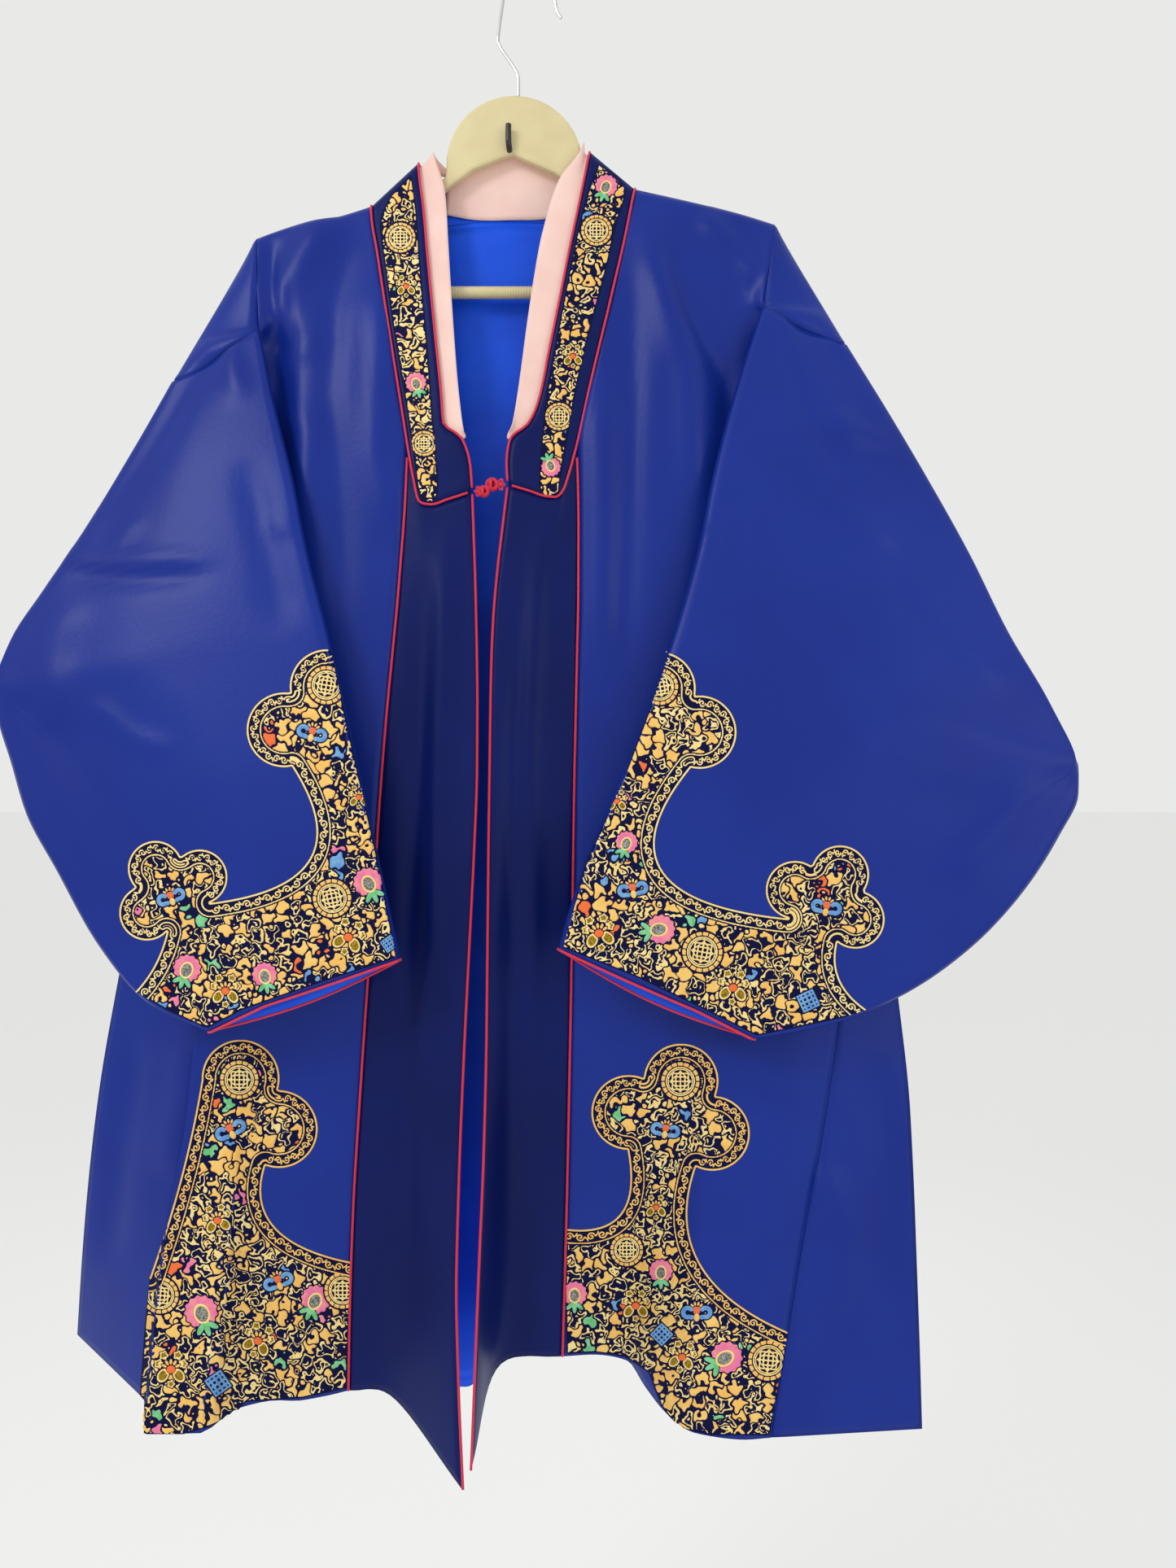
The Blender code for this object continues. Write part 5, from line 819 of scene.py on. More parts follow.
def mesh_object(name, vertices, faces, look, smooth=True):
    """A mesh made from points and faces."""
    mesh = bpy.data.meshes.new(name)
    mesh.from_pydata([tuple(v) for v in vertices], [], faces)
    mesh.validate(clean_customdata=False)
    mesh.update()
    for each in (look if isinstance(look, (list, tuple)) else [look]):
        mesh.materials.append(each)
    if smooth:
        mesh.polygons.foreach_set("use_smooth", [True] * len(mesh.polygons))
    item = bpy.data.objects.new(name, mesh)
    bpy.context.scene.collection.objects.link(item)
    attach(item, "root")
    return item


def grid_faces(rows, cols):
    """Index quads of a grid of points."""
    index = np.arange(rows * cols).reshape(rows, cols)
    return np.stack([index[:-1, :-1], index[:-1, 1:], index[1:, 1:], index[1:, :-1]], axis=-1).reshape(-1, 4)


def shell(name, grid, normals, flip, outside, inside, wall=SHELL_WALL):
    """Thin cloth: an outer face, a lining inside it and the turned edge between them."""
    rows, cols = grid.shape[:2]
    count = rows * cols
    inner = grid - normals * wall
    quads = grid_faces(rows, cols)
    back = quads[:, ::-1] + count
    index = np.arange(count).reshape(rows, cols)
    ring = np.concatenate([index[0, :-1], index[:-1, -1], index[-1, :0:-1], index[:0:-1, 0]])
    after = np.roll(ring, -1)
    rim = np.stack([after, ring, ring + count, after + count], axis=-1)
    faces = np.concatenate([quads, back, rim])
    if flip:
        faces = faces[:, ::-1]
    item = mesh_object(name, np.concatenate([grid.reshape(-1, 3), inner.reshape(-1, 3)]), faces.tolist(),
                       [outside, inside])
    slots = np.zeros(len(faces), int)
    slots[len(quads):2 * len(quads)] = 1
    item.data.polygons.foreach_set("material_index", slots)
    return item


# Looks

def tint(red, green, blue):
    """A screen colour as linear light."""
    values = [c / 255 for c in (red, green, blue)]
    return tuple(c / 12.92 if c < .04045 else ((c + .055) / 1.055) ** 2.4 for c in values) + (1,)


def plain(name, colour, roughness, metallic=0.0, sheen=0.0, grain=0.0, grain_size=400.0,
          second=None, patch=30.0, sheen_colour=(1, 1, 1, 1), gloss=.5):
    """A procedural look: a colour that drifts to a second one in soft patches, and a fine grain."""
    look = bpy.data.materials.new(name)
    look.use_nodes = True
    nodes, links = look.node_tree.nodes, look.node_tree.links
    shader = nodes["Principled BSDF"]
    shader.inputs["Base Color"].default_value = colour
    shader.inputs["Roughness"].default_value = roughness
    shader.inputs["Metallic"].default_value = metallic
    shader.inputs["Sheen Weight"].default_value = sheen
    shader.inputs["Sheen Roughness"].default_value = .35
    shader.inputs["Sheen Tint"].default_value = sheen_colour
    shader.inputs["Specular IOR Level"].default_value = gloss
    where = nodes.new("ShaderNodeTexCoord")
    if second is not None:
        noise = nodes.new("ShaderNodeTexNoise")
        noise.inputs["Scale"].default_value = patch
        noise.inputs["Detail"].default_value = 3
        ramp = nodes.new("ShaderNodeValToRGB")
        ramp.color_ramp.elements[0].position = .38
        ramp.color_ramp.elements[0].color = colour
        ramp.color_ramp.elements[1].position = .62
        ramp.color_ramp.elements[1].color = second
        links.new(where.outputs["Object"], noise.inputs["Vector"])
        links.new(noise.outputs["Fac"], ramp.inputs["Fac"])
        links.new(ramp.outputs["Color"], shader.inputs["Base Color"])
    if grain > 0:
        fine = nodes.new("ShaderNodeTexNoise")
        fine.inputs["Scale"].default_value = grain_size
        bump = nodes.new("ShaderNodeBump")
        bump.inputs["Strength"].default_value = grain
        bump.inputs["Distance"].default_value = .001
        links.new(where.outputs["Object"], fine.inputs["Vector"])
        links.new(fine.outputs["Fac"], bump.inputs["Height"])
        links.new(bump.outputs["Normal"], shader.inputs["Normal"])
    return look


LOOKS = {
    "satin": plain("blue_satin", tint(14, 40, 134), .38, sheen=.03, grain=.10, grain_size=260,
                   second=tint(17, 45, 142), patch=6, sheen_colour=tint(90, 140, 255), gloss=.2),
    "dark_satin": plain("navy_satin", tint(5, 20, 84), .40, sheen=.02, grain=.10, grain_size=260,
                        second=tint(6, 24, 94), patch=6, sheen_colour=tint(90, 130, 255), gloss=.13),
    "ground": plain("pattern_ground", tint(5, 9, 58), .6, grain=.2, gloss=.1),
    "lining": plain("blue_lining", tint(8, 88, 238), .45, sheen=.06, grain=.1, grain_size=240,
                    second=tint(6, 76, 222), patch=14, gloss=.25),
    "pink": plain("pink_collar", tint(248, 214, 202), .65, sheen=.2, grain=.2,
                  second=tint(243, 203, 193), patch=20),
    "red": plain("red_cord", tint(212, 30, 66), .5, sheen=.2, grain=.4, grain_size=900),
    "foil": plain("gold_foil", tint(248, 214, 128), .42, metallic=.15, grain=.4, grain_size=1400,
                  second=tint(250, 224, 150), patch=60),
    "warm_foil": plain("warm_gold_foil", tint(244, 188, 92), .42, metallic=.15, grain=.4, grain_size=1400,
                       second=tint(248, 204, 112), patch=60),
    "glitter": plain("gold_glitter", tint(196, 160, 30), .3, metallic=.7, grain=1.0, grain_size=1900,
                     second=tint(120, 96, 24), patch=900),
    "silver": plain("silver_glitter", tint(190, 192, 186), .3, metallic=.7, grain=1.0, grain_size=1900,
                    second=tint(84, 84, 78), patch=900),
    "rose": plain("pink_foil", tint(232, 112, 158), .5, grain=.3, second=tint(240, 138, 150), patch=150),
    "leaf": plain("green_foil", tint(96, 186, 112), .5, grain=.3, second=tint(130, 206, 150), patch=150),
    "sky": plain("light_blue_foil", tint(116, 168, 214), .5, grain=.3, second=tint(84, 140, 204), patch=150),
    "orange": plain("orange_foil", tint(240, 106, 34), .5, grain=.3),
    "wood": plain("pale_wood", tint(214, 198, 150), .5, grain=.1, second=tint(222, 208, 160), patch=25),
    "steel": plain("steel_wire", tint(200, 202, 198), .28, metallic=1.0),
    "black": plain("black_plastic", tint(24, 24, 26), .4),
}


# The cloth pieces

def coat_grids():
    """Each cloth piece's grid and whether it's flipped, and what the insides need of either half."""
    pieces, halves = {}, {}
    for letter, half, body, hem, sleeve, right in (("l", LEFT, LEFT_BODY, LEFT_HEM, LEFT_SLEEVE, False),
                                                   ("r", RIGHT, RIGHT_BODY, RIGHT_HEM, RIGHT_SLEEVE, True)):
        front = front_panel_grid(half, body, hem)
        back_half = back_half_grid(half, body, hem, front)
        band = band_grid(half, front)
        centre = centre_panel_grid(body, hem, front, band)
        side = side_panel_grid(half, body, hem, front, back_half)
        arm = sleeve_grid(half, sleeve, front, back_half)
        arm = np.concatenate([arm, arm[:, :1]], axis=1)
        halves[letter] = {"half": half, "back": back_half, "band": band}
        pieces["front_panel_" + letter] = (front, right)
        pieces["centre_panel_" + letter] = (centre, not right)
        pieces["side_panel_" + letter] = (side, right)
        pieces["collar_band_" + letter] = (band, not right)
        pieces["sleeve_" + letter] = (arm, not right)
    back = np.concatenate([halves["l"]["back"][:, :0:-1], halves["r"]["back"]], axis=1)
    pieces["back_panel"] = (back, False)
    return pieces, halves


pieces, halves = coat_grids()
SHELLS = {}
for name, (grid, flip) in pieces.items():
    fine = fine_grid(grid)
    fine = creased(name, fine, grid_normals(fine, flip))
    normals = grid_normals(fine, flip)
    dark = name.startswith(("collar_band", "centre_panel"))
    outside = LOOKS["dark_satin"] if dark else LOOKS["satin"]
    item = shell("shell_" + name, fine, normals, flip, outside, LOOKS["lining"])
    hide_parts(name)
    SHELLS[name] = {"grid": fine, "normals": normals, "item": item}


# Ornament: fields of foil relief, worked out on a lattice of picture points

LATTICE = 1.05              # spacing of the lattice in picture points
GROUND_LATTICE = 3.0        # and of the lattice of the dark ground under the foil
RAY_STEP = 2.0              # spacing of the rays that find the cloth behind a field
FIELD_CELL = 17.0           # size of the filler's cells in the fields with a border
STRIP_CELL = 13.0           # and in the collar's strips
CELL_SCATTER = .62          # how far a cell's middle strays from even places, in cell sizes
LOOP_SHARE = .5             # share of the filler's cells that are open outlines
LOOP_GROWTH = .13           # how much larger these cells are, in cell sizes
LOOP_DEPTH = 2.5            # the outlines lie this deep in their cell
LOOP_HALF = 1.0             # half width of an outline
LOOP_DOT = 1.7              # radius of the dot in its middle
BLOB_DEPTH = 1.7            # a filled blob's edge lies this deep in its cell
SMALL_DEPTH = 2.5           # and that of a small coloured one
WARP_WAVES = (17, 9)        # lengths of the two waves that bend the cells, in picture points
WARP_REACH = (5.6, 1.5)     # and how far they bend them
BAND = 18.0                 # width of the border band in picture points
OUTER_LINE = (1.2, 1.05)    # place and half width of the band's outer line, from its outer edge
INNER_LINE = (1.0, .9)      # the same of its inner line, from its inner edge
SCROLL = 12.5               # length of one scroll along the band
SCROLL_SHIFT = .2           # how far the scrolls lie inside the band's middle
SCROLL_HALF = .78           # half width of a scroll's line
SCROLL_CLEAR = (3.2, 2.6)   # the scrolls stay this far from the band's outer and inner edge
GROUND_LIFT = 0.00012       # heights above the cloth, in metres
FOIL_LIFT = 0.00020
FOIL_DOME = 0.00055         # how far a foil's middle stands above its rim, at most
DOME_DEPTH = 2.2            # the dome is full this deep inside the foil
MOTIF_REACH = 34            # no motif reaches further than this from its middle
NOWHERE = -1e3              # a value well outside everything

# The filler's looks: the share of the cells up to which each is used, and its form
FILLER = (
    ("foil", LOOP_SHARE, "loop"),
    ("warm_foil", .92, "blob"),
    ("rose", .94, "small"),
    ("leaf", .96, "small"),
    ("sky", .98, "small"),
    ("orange", 1.01, "small"),
)

# Heads of the borders
LOBE_PLACE = .53            # a lobe's middle, from the head's middle, in head sizes
LOBE_RADIUS = .46
CLOUD_STEP = 4.0            # spacing of a border's points
FULL_LEFT, FULL_RIGHT = -136, 136   # where a whole head starts and ends, in degrees from where it points

# Each field: its piece, the rows of its border, the rest of its outline, which lies on the cloth's edges, and
# its motifs. A border's rows are its ends and bends (kind, x, y) and its heads (kind, x, y, size, the way
# that the head points, and where it starts and ends from there). A motif's row is kind, x, y, size and
# turn. Angles are in degrees.
FIELDS = {
    "cuff_l": {
        "piece": "sleeve_l", "band": "foil",
        "border": (("end", 402, 798), ("head", 402, 897, 100, 270, 0, FULL_LEFT), ("bend", 380, 1056),
                   ("head", 213, 1100, 74, 236, FULL_RIGHT, FULL_LEFT), ("bend", 190, 1186),
                   ("end", 166, 1219)),
        "rest": ((206, 1242), (254, 1264), (298, 1241), (398, 1206), (488, 1177), (462, 1045), (436, 930),
                 (407, 800)),
        "motifs": (("medallion", 401, 842, 1.0, 10), ("medallion", 408, 1104, 1.0, -12),
                   ("pair", 384, 898, 1.0, 15), ("pair", 209, 1100, .95, -20), ("sun", 441, 980, .75, 0),
                   ("sun", 428, 1152, 1.15, 15), ("sun", 277, 1218, 1.05, 0), ("peony", 452, 1084, 1.05, -25),
                   ("peony", 230, 1190, 1.0, 20), ("peony", 325, 1198, .9, -10), ("knot", 478, 1160, .8, 10)),
    },
    "cuff_r": {
        "piece": "sleeve_r", "band": "foil",
        "border": (("end", 818, 800), ("head", 808, 898, 98, 272, 0, FULL_RIGHT), ("bend", 814, 1070),
                   ("head", 1014, 1112, 78, 296, FULL_LEFT, FULL_RIGHT), ("bend", 1032, 1204),
                   ("end", 1065, 1241)),
        "rest": ((1035, 1251), (930, 1273), (866, 1241), (783, 1201), (690, 1164), (719, 1062), (766, 956),
                 (802, 860), (822, 803)),
        "motifs": (("medallion", 811, 844, .95, -10), ("medallion", 863, 1170, 1.05, 10),
                   ("pair", 777, 1090, 1.0, -10), ("pair", 1016, 1112, 1.0, 10), ("sun", 758, 985, .75, 0),
                   ("sun", 736, 1147, 1.15, -10), ("sun", 901, 1214, 1.1, 5), ("peony", 812, 1142, 1.05, 80),
                   ("knot", 993, 1230, 1.1, 20), ("peony", 770, 1035, .8, 20)),
    },
    "hem_l": {
        "piece": "front_panel_l", "beside": "side_panel_l", "band": "warm_foil",
        "border": (("end", 184, 1570), ("bend", 222, 1448), ("head", 288, 1380, 104, 278, -45, FULL_RIGHT),
                   ("bend", 338, 1508), ("end", 432, 1551)),
        "rest": ((426, 1706), (372, 1718), (302, 1723), (286, 1740), (256, 1754), (220, 1764), (180, 1763),
                 (169, 1752), (178, 1627)),
        "motifs": (("medallion", 294, 1327, 1.0, 0), ("medallion", 197, 1592, .95, 5),
                   ("medallion", 421, 1586, .95, 0), ("pair", 282, 1386, 1.05, -25),
                   ("pair", 341, 1572, 1.0, -20), ("sun", 267, 1500, 1.0, -10), ("sun", 210, 1683, 1.15, 0),
                   ("sun", 317, 1648, 1.1, 20), ("peony", 247, 1612, 1.2, -20),
                   ("peony", 388, 1597, 1.05, 25), ("knot", 268, 1700, 1.2, 10)),
    },
    "hem_r": {
        "piece": "front_panel_r", "beside": "side_panel_r", "band": "warm_foil",
        "border": (("end", 694, 1510), ("bend", 762, 1492),
                   ("head", 824, 1380, 100, 284, FULL_LEFT, FULL_RIGHT), ("bend", 860, 1552),
                   ("end", 968, 1637)),
        "rest": ((960, 1690), (946, 1764), (874, 1764), (832, 1755), (812, 1727), (797, 1687), (767, 1667),
                 (731, 1662), (696, 1664)),
        "motifs": (("medallion", 836, 1329, 1.0, 0), ("medallion", 770, 1536, .85, 0),
                   ("medallion", 944, 1672, 1.05, 5), ("pair", 818, 1386, .95, 10),
                   ("pair", 856, 1610, 1.0, 0), ("sun", 806, 1484, .8, 0),
                   ("sun", 781, 1605, 1.0, 0), ("sun", 838, 1668, 1.0, 10), ("peony", 812, 1562, .85, 0),
                   ("peony", 893, 1668, 1.15, 60), ("peony", 706, 1590, .9, 0), ("knot", 813, 1640, 1.0, 0)),
    },
    "strip_l": {
        "piece": "collar_band_l",
        "border": None,
        "rest": ((506, 214), (512, 260), (517, 330), (525, 421), (531, 500), (538, 606), (517, 612),
                 (508, 560), (500, 505), (486, 421), (473, 330), (467, 272), (480, 240)),
        "motifs": (("medallion", 492, 292, .78, 0), ("sun", 499, 352, .72, 0), ("peony", 511, 470, .75, -15),
                   ("medallion", 521, 545, .66, 0)),
    },
    "strip_r": {
        "piece": "collar_band_r",
        "border": None,
        "rest": ((736, 200), (768, 230), (757, 278), (744, 335), (721, 421), (703, 505), (689, 588),
                 (685, 606), (663, 602), (669, 505), (683, 421), (699, 335), (711, 278), (724, 230)),
        "motifs": (("peony", 745, 228, .8, 20), ("medallion", 733, 283, .8, 0), ("sun", 704, 438, .75, 0),
                   ("medallion", 687, 512, .72, 0), ("peony", 677, 574, .7, 160)),
    },
}


def bend_line(start, middle, end):
    """One even bend through a middle place, without its two ends."""
    start, middle, end = (np.asarray(place, float) for place in (start, middle, end))
    pull = 2 * middle - (start + end) / 2
    count = max(3, int((np.linalg.norm(middle - start) + np.linalg.norm(end - middle)) / CLOUD_STEP))
    t = (np.arange(1, count) / count)[:, None]
    return (1 - t)**2 * start + 2 * t * (1 - t) * pull + t**2 * end


def head_line(x, y, size, turn, first, last):
    """The outline of three equal lobes round a middle, between two directions."""
    count = int(abs(last - first) / 360 * 2 * math.pi * size / CLOUD_STEP)
    rays = np.radians(np.linspace(first, last, count))
    reach = np.zeros(count)
    for lobe in np.radians((-90, 0, 90)):
        beside = LOBE_PLACE * np.sin(rays - lobe)
        ahead = LOBE_PLACE * np.cos(rays - lobe)
        edge = ahead + np.sqrt(np.maximum(LOBE_RADIUS**2 - beside**2, 0))
        reach = np.maximum(reach, np.where((np.abs(beside) < LOBE_RADIUS) & (ahead > 0), edge, 0))
    rays += math.radians(turn)
    return np.column_stack([x + size * reach * np.cos(rays), y + size * reach * np.sin(rays)])


def border_line(rows):
    """A field's border, from its rows of ends, bends and heads."""
    line, middle = [], None
    for kind, *place in rows:
        if kind == "bend":
            middle = place
            continue
        part = head_line(*place) if kind == "head" else np.array([place], float)
        if middle is not None:
            line.append(bend_line(line[-1][-1], middle, part[0]))
            middle = None
        line.append(part)
    return np.concatenate(line)


def smooth_line(points, step=4.0, closed=False):
    """A rounded line through points of the picture."""
    points = np.asarray(points, float)
    before = points[-1:] if closed else 2 * points[:1] - points[1:2]
    after = points[:2] if closed else 2 * points[-1:] - points[-2:-1]
    padded = np.concatenate([before, points, after])
    result = []
    for i in range(1, len(padded) - 2):
        a, b, c, d = padded[i - 1:i + 3]
        count = max(1, int(np.linalg.norm(c - b) / step + .5))
        t = (np.arange(count) / count)[:, None]
        result.append(.5 * (2 * b + (c - a) * t + (2 * a - 5 * b + 4 * c - d) * t**2
                            + (3 * b - a - 3 * c + d) * t**3))
    if not closed:
        result.append(points[-1:])
    return np.concatenate(result)


def inside_of(x, y, outline):
    """Whether places lie inside a closed line."""
    result = np.zeros(x.shape, bool)
    for (x0, y0), (x1, y1) in zip(outline, np.roll(outline, -1, axis=0)):
        if y0 == y1:
            continue
        crosses = ((y0 > y) != (y1 > y)) & (x < (x1 - x0) * (y - y0) / (y1 - y0) + x0)
        result ^= crosses
    return result


def drift(shape, wave, random):
    """Smooth noise with bumps about one wave across, about -1 to 1."""
    field = np.fft.rfft2(random.standard_normal(shape))
    fy = np.fft.fftfreq(shape[0])[:, None]
    fx = np.fft.rfftfreq(shape[1])[None]
    field *= np.exp(-((np.hypot(fx, fy) * wave - 1) / .45) ** 2)
    result = np.fft.irfft2(field, s=shape)
    return result / (2 * result.std())


def chance(i, j, salt):
    """An even random number for each cell."""
    mixed = np.sin(i * 127.1 + j * 311.7 + salt * 74.7) * 43758.5453
    return mixed - np.floor(mixed)


def cells(x, y, size, salt):
    """Uneven cells: how far places lie inside their cell's edge, its random number, how far its middle is."""
    i, j = np.floor(x / size), np.floor(y / size)
    first, second = np.full(x.shape, 1e9), np.full(x.shape, 1e9)
    own = np.zeros(x.shape)
    px, py = np.zeros(x.shape), np.zeros(x.shape)
    for di in (-1, 0, 1):
        for dj in (-1, 0, 1):
            ci, cj = i + di, j + dj
            mark = chance(ci, cj, salt)
            cx = (ci + .5 + CELL_SCATTER * (chance(ci, cj, salt + 1) - .5)) * size
            cy = (cj + .5 + CELL_SCATTER * (chance(ci, cj, salt + 2) - .5)) * size
            distance = np.hypot(x - cx, y - cy) - np.where(mark < LOOP_SHARE, size * LOOP_GROWTH, 0)
            nearer = distance < first
            second = np.where(nearer, first, np.minimum(second, distance))
            own = np.where(nearer, mark, own)
            px, py = np.where(nearer, x - cx, px), np.where(nearer, y - cy, py)
            first = np.where(nearer, distance, first)
    return (second - first) / 2, own, np.hypot(px, py)


def petal(p, q, x, y, wide, tall, turn=0.0):
    """An oval: about how far places lie inside it."""
    c, s = math.cos(turn), math.sin(turn)
    u, v = (p - x) * c + (q - y) * s, (q - y) * c - (p - x) * s
    return (1 - np.sqrt((u / wide) ** 2 + (v / tall) ** 2)) * min(wide, tall)


def scroll_line():
    """One scroll of the border: a curl with a tail that reaches the next one."""
    angles = np.linspace(0, 2.6 * math.pi, 18)
    radii = np.linspace(5.0, 1.0, 18)
    curl = np.column_stack([radii * np.cos(angles), radii * np.sin(angles)])
    tail = np.array([(9.0, 4.6), (7.2, 1.6)])
    return np.concatenate([tail, curl])


def peony(p, q):
    """A round pink flower with a glittering heart and green leaves."""
    r, angle = np.hypot(p, q * 1.02), np.arctan2(q, p)
    heart = petal(p, q, 0, 2.5, 7.6, 10.0)
    bloom = 16.5 + .9 * np.cos(13 * angle) - r
    leaves = np.maximum.reduce([petal(p, q, 0, 19.5, 2.8, 7.0), petal(p, q, -6.5, 17, 2.8, 6.5, .8),
                                petal(p, q, 6.5, 17, 2.8, 6.5, -.8), petal(p, q, -3, 14, 2.2, 3.4)])
    return {"rose": np.minimum(bloom, np.minimum(-heart - .6, -leaves - .8)),
            "foil": 1.0 - np.abs(heart - .4), "silver": heart - 1.5, "leaf": leaves,
            "hull": np.maximum(bloom, leaves)}


def sun(p, q):
    """An orange seed with a fan of small petals, glittering lobes and florets."""
    fan = np.maximum.reduce([petal(p, q, 8.2 * math.sin(a), -8.2 * math.cos(a), 1.5, 3.0, a)
                             for a in np.radians((-62, -31, 0, 31, 62))])
    seed = petal(p, q, 0, 0, 4.6, 4.2)
    lobes = np.maximum(petal(p, q, -8.5, 6.5, 5.4, 7.6, .6), petal(p, q, 8.5, 6.5, 5.4, 7.6, -.6))
    florets = np.full(p.shape, -1e3)
    for x, y, size in ((-13, -6, 4.2), (13, -6, 4.2), (-7.5, -15, 4.2), (7.5, -15, 4.2), (0, 15.5, 3.6)):
        around = np.arctan2(q - y, p - x)
        florets = np.maximum(florets, size + .7 * np.cos(5 * around) - np.hypot(p - x, q - y))
    glitter = np.maximum(lobes, florets)
    glitter = np.minimum(glitter, np.minimum(-seed - .8, -fan - .8))
    return {"warm_foil": fan, "orange": seed, "glitter": glitter - 1.2, "foil": .8 - np.abs(glitter - .5),
            "hull": np.maximum.reduce([fan, seed, glitter])}


def pair(p, q):
    """Two light-blue curls beside an orange seed, with a small fan and a golden body."""
    fan = np.maximum.reduce([petal(p, q, 8.0 * math.sin(a), -8.0 * math.cos(a), 1.3, 2.6, a)
                             for a in np.radians((-44, -15, 15, 44))])
    seed = np.minimum(4.0 - np.abs(p), 4.0 - np.abs(q))
    body = petal(p, q, 0, 9.0, 3.6, 5.0)
    curls = np.full(p.shape, -1e3)
    for side in (-1, 1):
        u, v = p * side - 11.0, q - 3.0
        r, angle = np.hypot(u, v), np.arctan2(v, -u)
        ring = 2.7 - np.abs(r - 5.6)
        ring = np.minimum(ring, (np.abs(angle - .25) - .55) * r)
        curls = np.maximum.reduce([curls, ring, petal(u, v, -4.6, 5.8, 2.9, 2.9)])
    return {"sky": curls, "orange": seed, "warm_foil": np.maximum(fan, body),
            "hull": np.maximum.reduce([curls, seed, fan, body])}


def medallion(p, q):
    """A round medallion: a segmented rim, a thin ring and a plain lattice inside."""
    r, angle = np.hypot(p, q), np.arctan2(q, p)
    rim = np.minimum(2.1 - np.abs(r - 21.4), (np.abs(np.sin(9 * angle)) - .24) * 5)
    ring = np.maximum(.75 - np.abs(r - 17.2), .6 - np.abs(r - 14.9))
    a, b = np.abs(p), np.abs(q)
    bars = np.maximum.reduce([.85 - a, .85 - b, .85 - np.abs(np.maximum(a, b) - 5.6),
                              .85 - np.abs(a + b - 12.6), .85 - np.abs(np.maximum(a, b) - 9.8)])
    bars = np.minimum(bars, 13.6 - r)
    return {"warm_foil": np.minimum(rim, .4 + np.abs(r - 22.0)), "foil": np.maximum(ring, bars),
            "hull": 24.2 - r}


def knot(p, q):
    """A small endless knot of light-blue cord."""
    u, v = (p + q) / 1.414, (p - q) / 1.414
    lines = 1.15 - np.minimum(np.abs((u + 2.6) % 5.2 - 2.6), np.abs((v + 2.6) % 5.2 - 2.6))
    hull = 10.2 - np.maximum(np.abs(u), np.abs(v))
    return {"sky": np.minimum(np.maximum(lines, 1.15 - np.abs(hull - .9)), hull), "hull": hull}


MOTIFS = {"peony": peony, "sun": sun, "pair": pair, "medallion": medallion, "knot": knot}


def field_lines(field):
    """A field's border, or None, and its whole outline."""
    rest = np.array(field["rest"], float)
    if field["border"] is None:
        return None, smooth_line(rest)
    line = border_line(field["border"])
    return line, np.concatenate([line, rest])


def border_foil(line, border_distance, share):
    """The foil of a border's band: its two edge lines, and the scrolls between them."""
    length = np.linalg.norm(np.diff(line, axis=0), axis=1).sum()
    lines = np.maximum(OUTER_LINE[1] - np.abs(border_distance - OUTER_LINE[0]),
                       INNER_LINE[1] - np.abs(border_distance - BAND + INNER_LINE[0]))
    along_it = share * length
    turn = np.floor(along_it / SCROLL)
    near = border_distance < BAND
    u = (along_it - (turn + .5) * SCROLL)[near]
    v = (border_distance - BAND / 2 - SCROLL_SHIFT)[near]
    odd = ((turn % 2) * 2 - 1)[near]
    scrolls = np.full(share.shape, NOWHERE)
    for step in (-1, 0, 1):
        side = odd * (1 if step == 0 else -1)
        away, _ = line_distance(np.stack([u - step * SCROLL, v * side], axis=-1), scroll_line())
        scrolls[near] = np.maximum(scrolls[near], SCROLL_HALF - away)
    scrolls = np.minimum(scrolls, np.minimum(border_distance - SCROLL_CLEAR[0],
                                             BAND - SCROLL_CLEAR[1] - border_distance))
    return np.minimum(np.maximum(lines, scrolls), np.where(near, 9, -9))


def add_part(values, look, where, part):
    """Adds foil of one look to the places chosen."""
    if look not in values:
        values[look] = np.full(where.shape, NOWHERE)
    values[look][where] = np.maximum(values[look][where], part)


def add_motifs(values, motifs, x, y, room):
    """Lays the motifs one after the other, and returns how far places lie inside any of them."""
    hulls = np.full(x.shape, NOWHERE)
    for kind, mx, my, size, turn in motifs:
        c, s = math.cos(math.radians(turn)), math.sin(math.radians(turn))
        dx, dy = (x - mx) / size, (y - my) / size
        near = (np.abs(dx) < MOTIF_REACH) & (np.abs(dy) < MOTIF_REACH)
        p, q = (dx * c + dy * s)[near], (dy * c - dx * s)[near]
        parts = MOTIFS[kind](p, q)
        hull = parts.pop("hull")
        free = np.minimum(room[near], -hulls[near] - 1.2)
        for look, part in parts.items():
            add_part(values, look, near, np.minimum(part * size, free))
        hulls[near] = np.maximum(hulls[near], hull * size)
    return hulls


def add_filler(values, x, y, salt, cell_size, room):
    """Fills the room that is left with open outlines and blobs of foil."""
    random = np.random.default_rng(salt)
    warps = [(drift(x.shape, wave / LATTICE, random), drift(x.shape, wave / LATTICE, random))
             for wave in WARP_WAVES]
    px = x + warps[0][0] * WARP_REACH[0] + warps[1][0] * WARP_REACH[1]
    py = y + warps[0][1] * WARP_REACH[0] + warps[1][1] * WARP_REACH[1]
    depth, own, middle = cells(px, py, cell_size, salt)
    forms = {"loop": np.maximum(LOOP_HALF - np.abs(depth - LOOP_DEPTH), LOOP_DOT - middle),
             "blob": depth - BLOB_DEPTH, "small": depth - SMALL_DEPTH}
    everywhere = np.ones(x.shape, bool)
    low = 0
    for look, high, form in FILLER:
        chosen = np.where((own >= low) & (own < high), forms[form], -9)
        add_part(values, look, everywhere, np.minimum(chosen, room).ravel())
        low = high


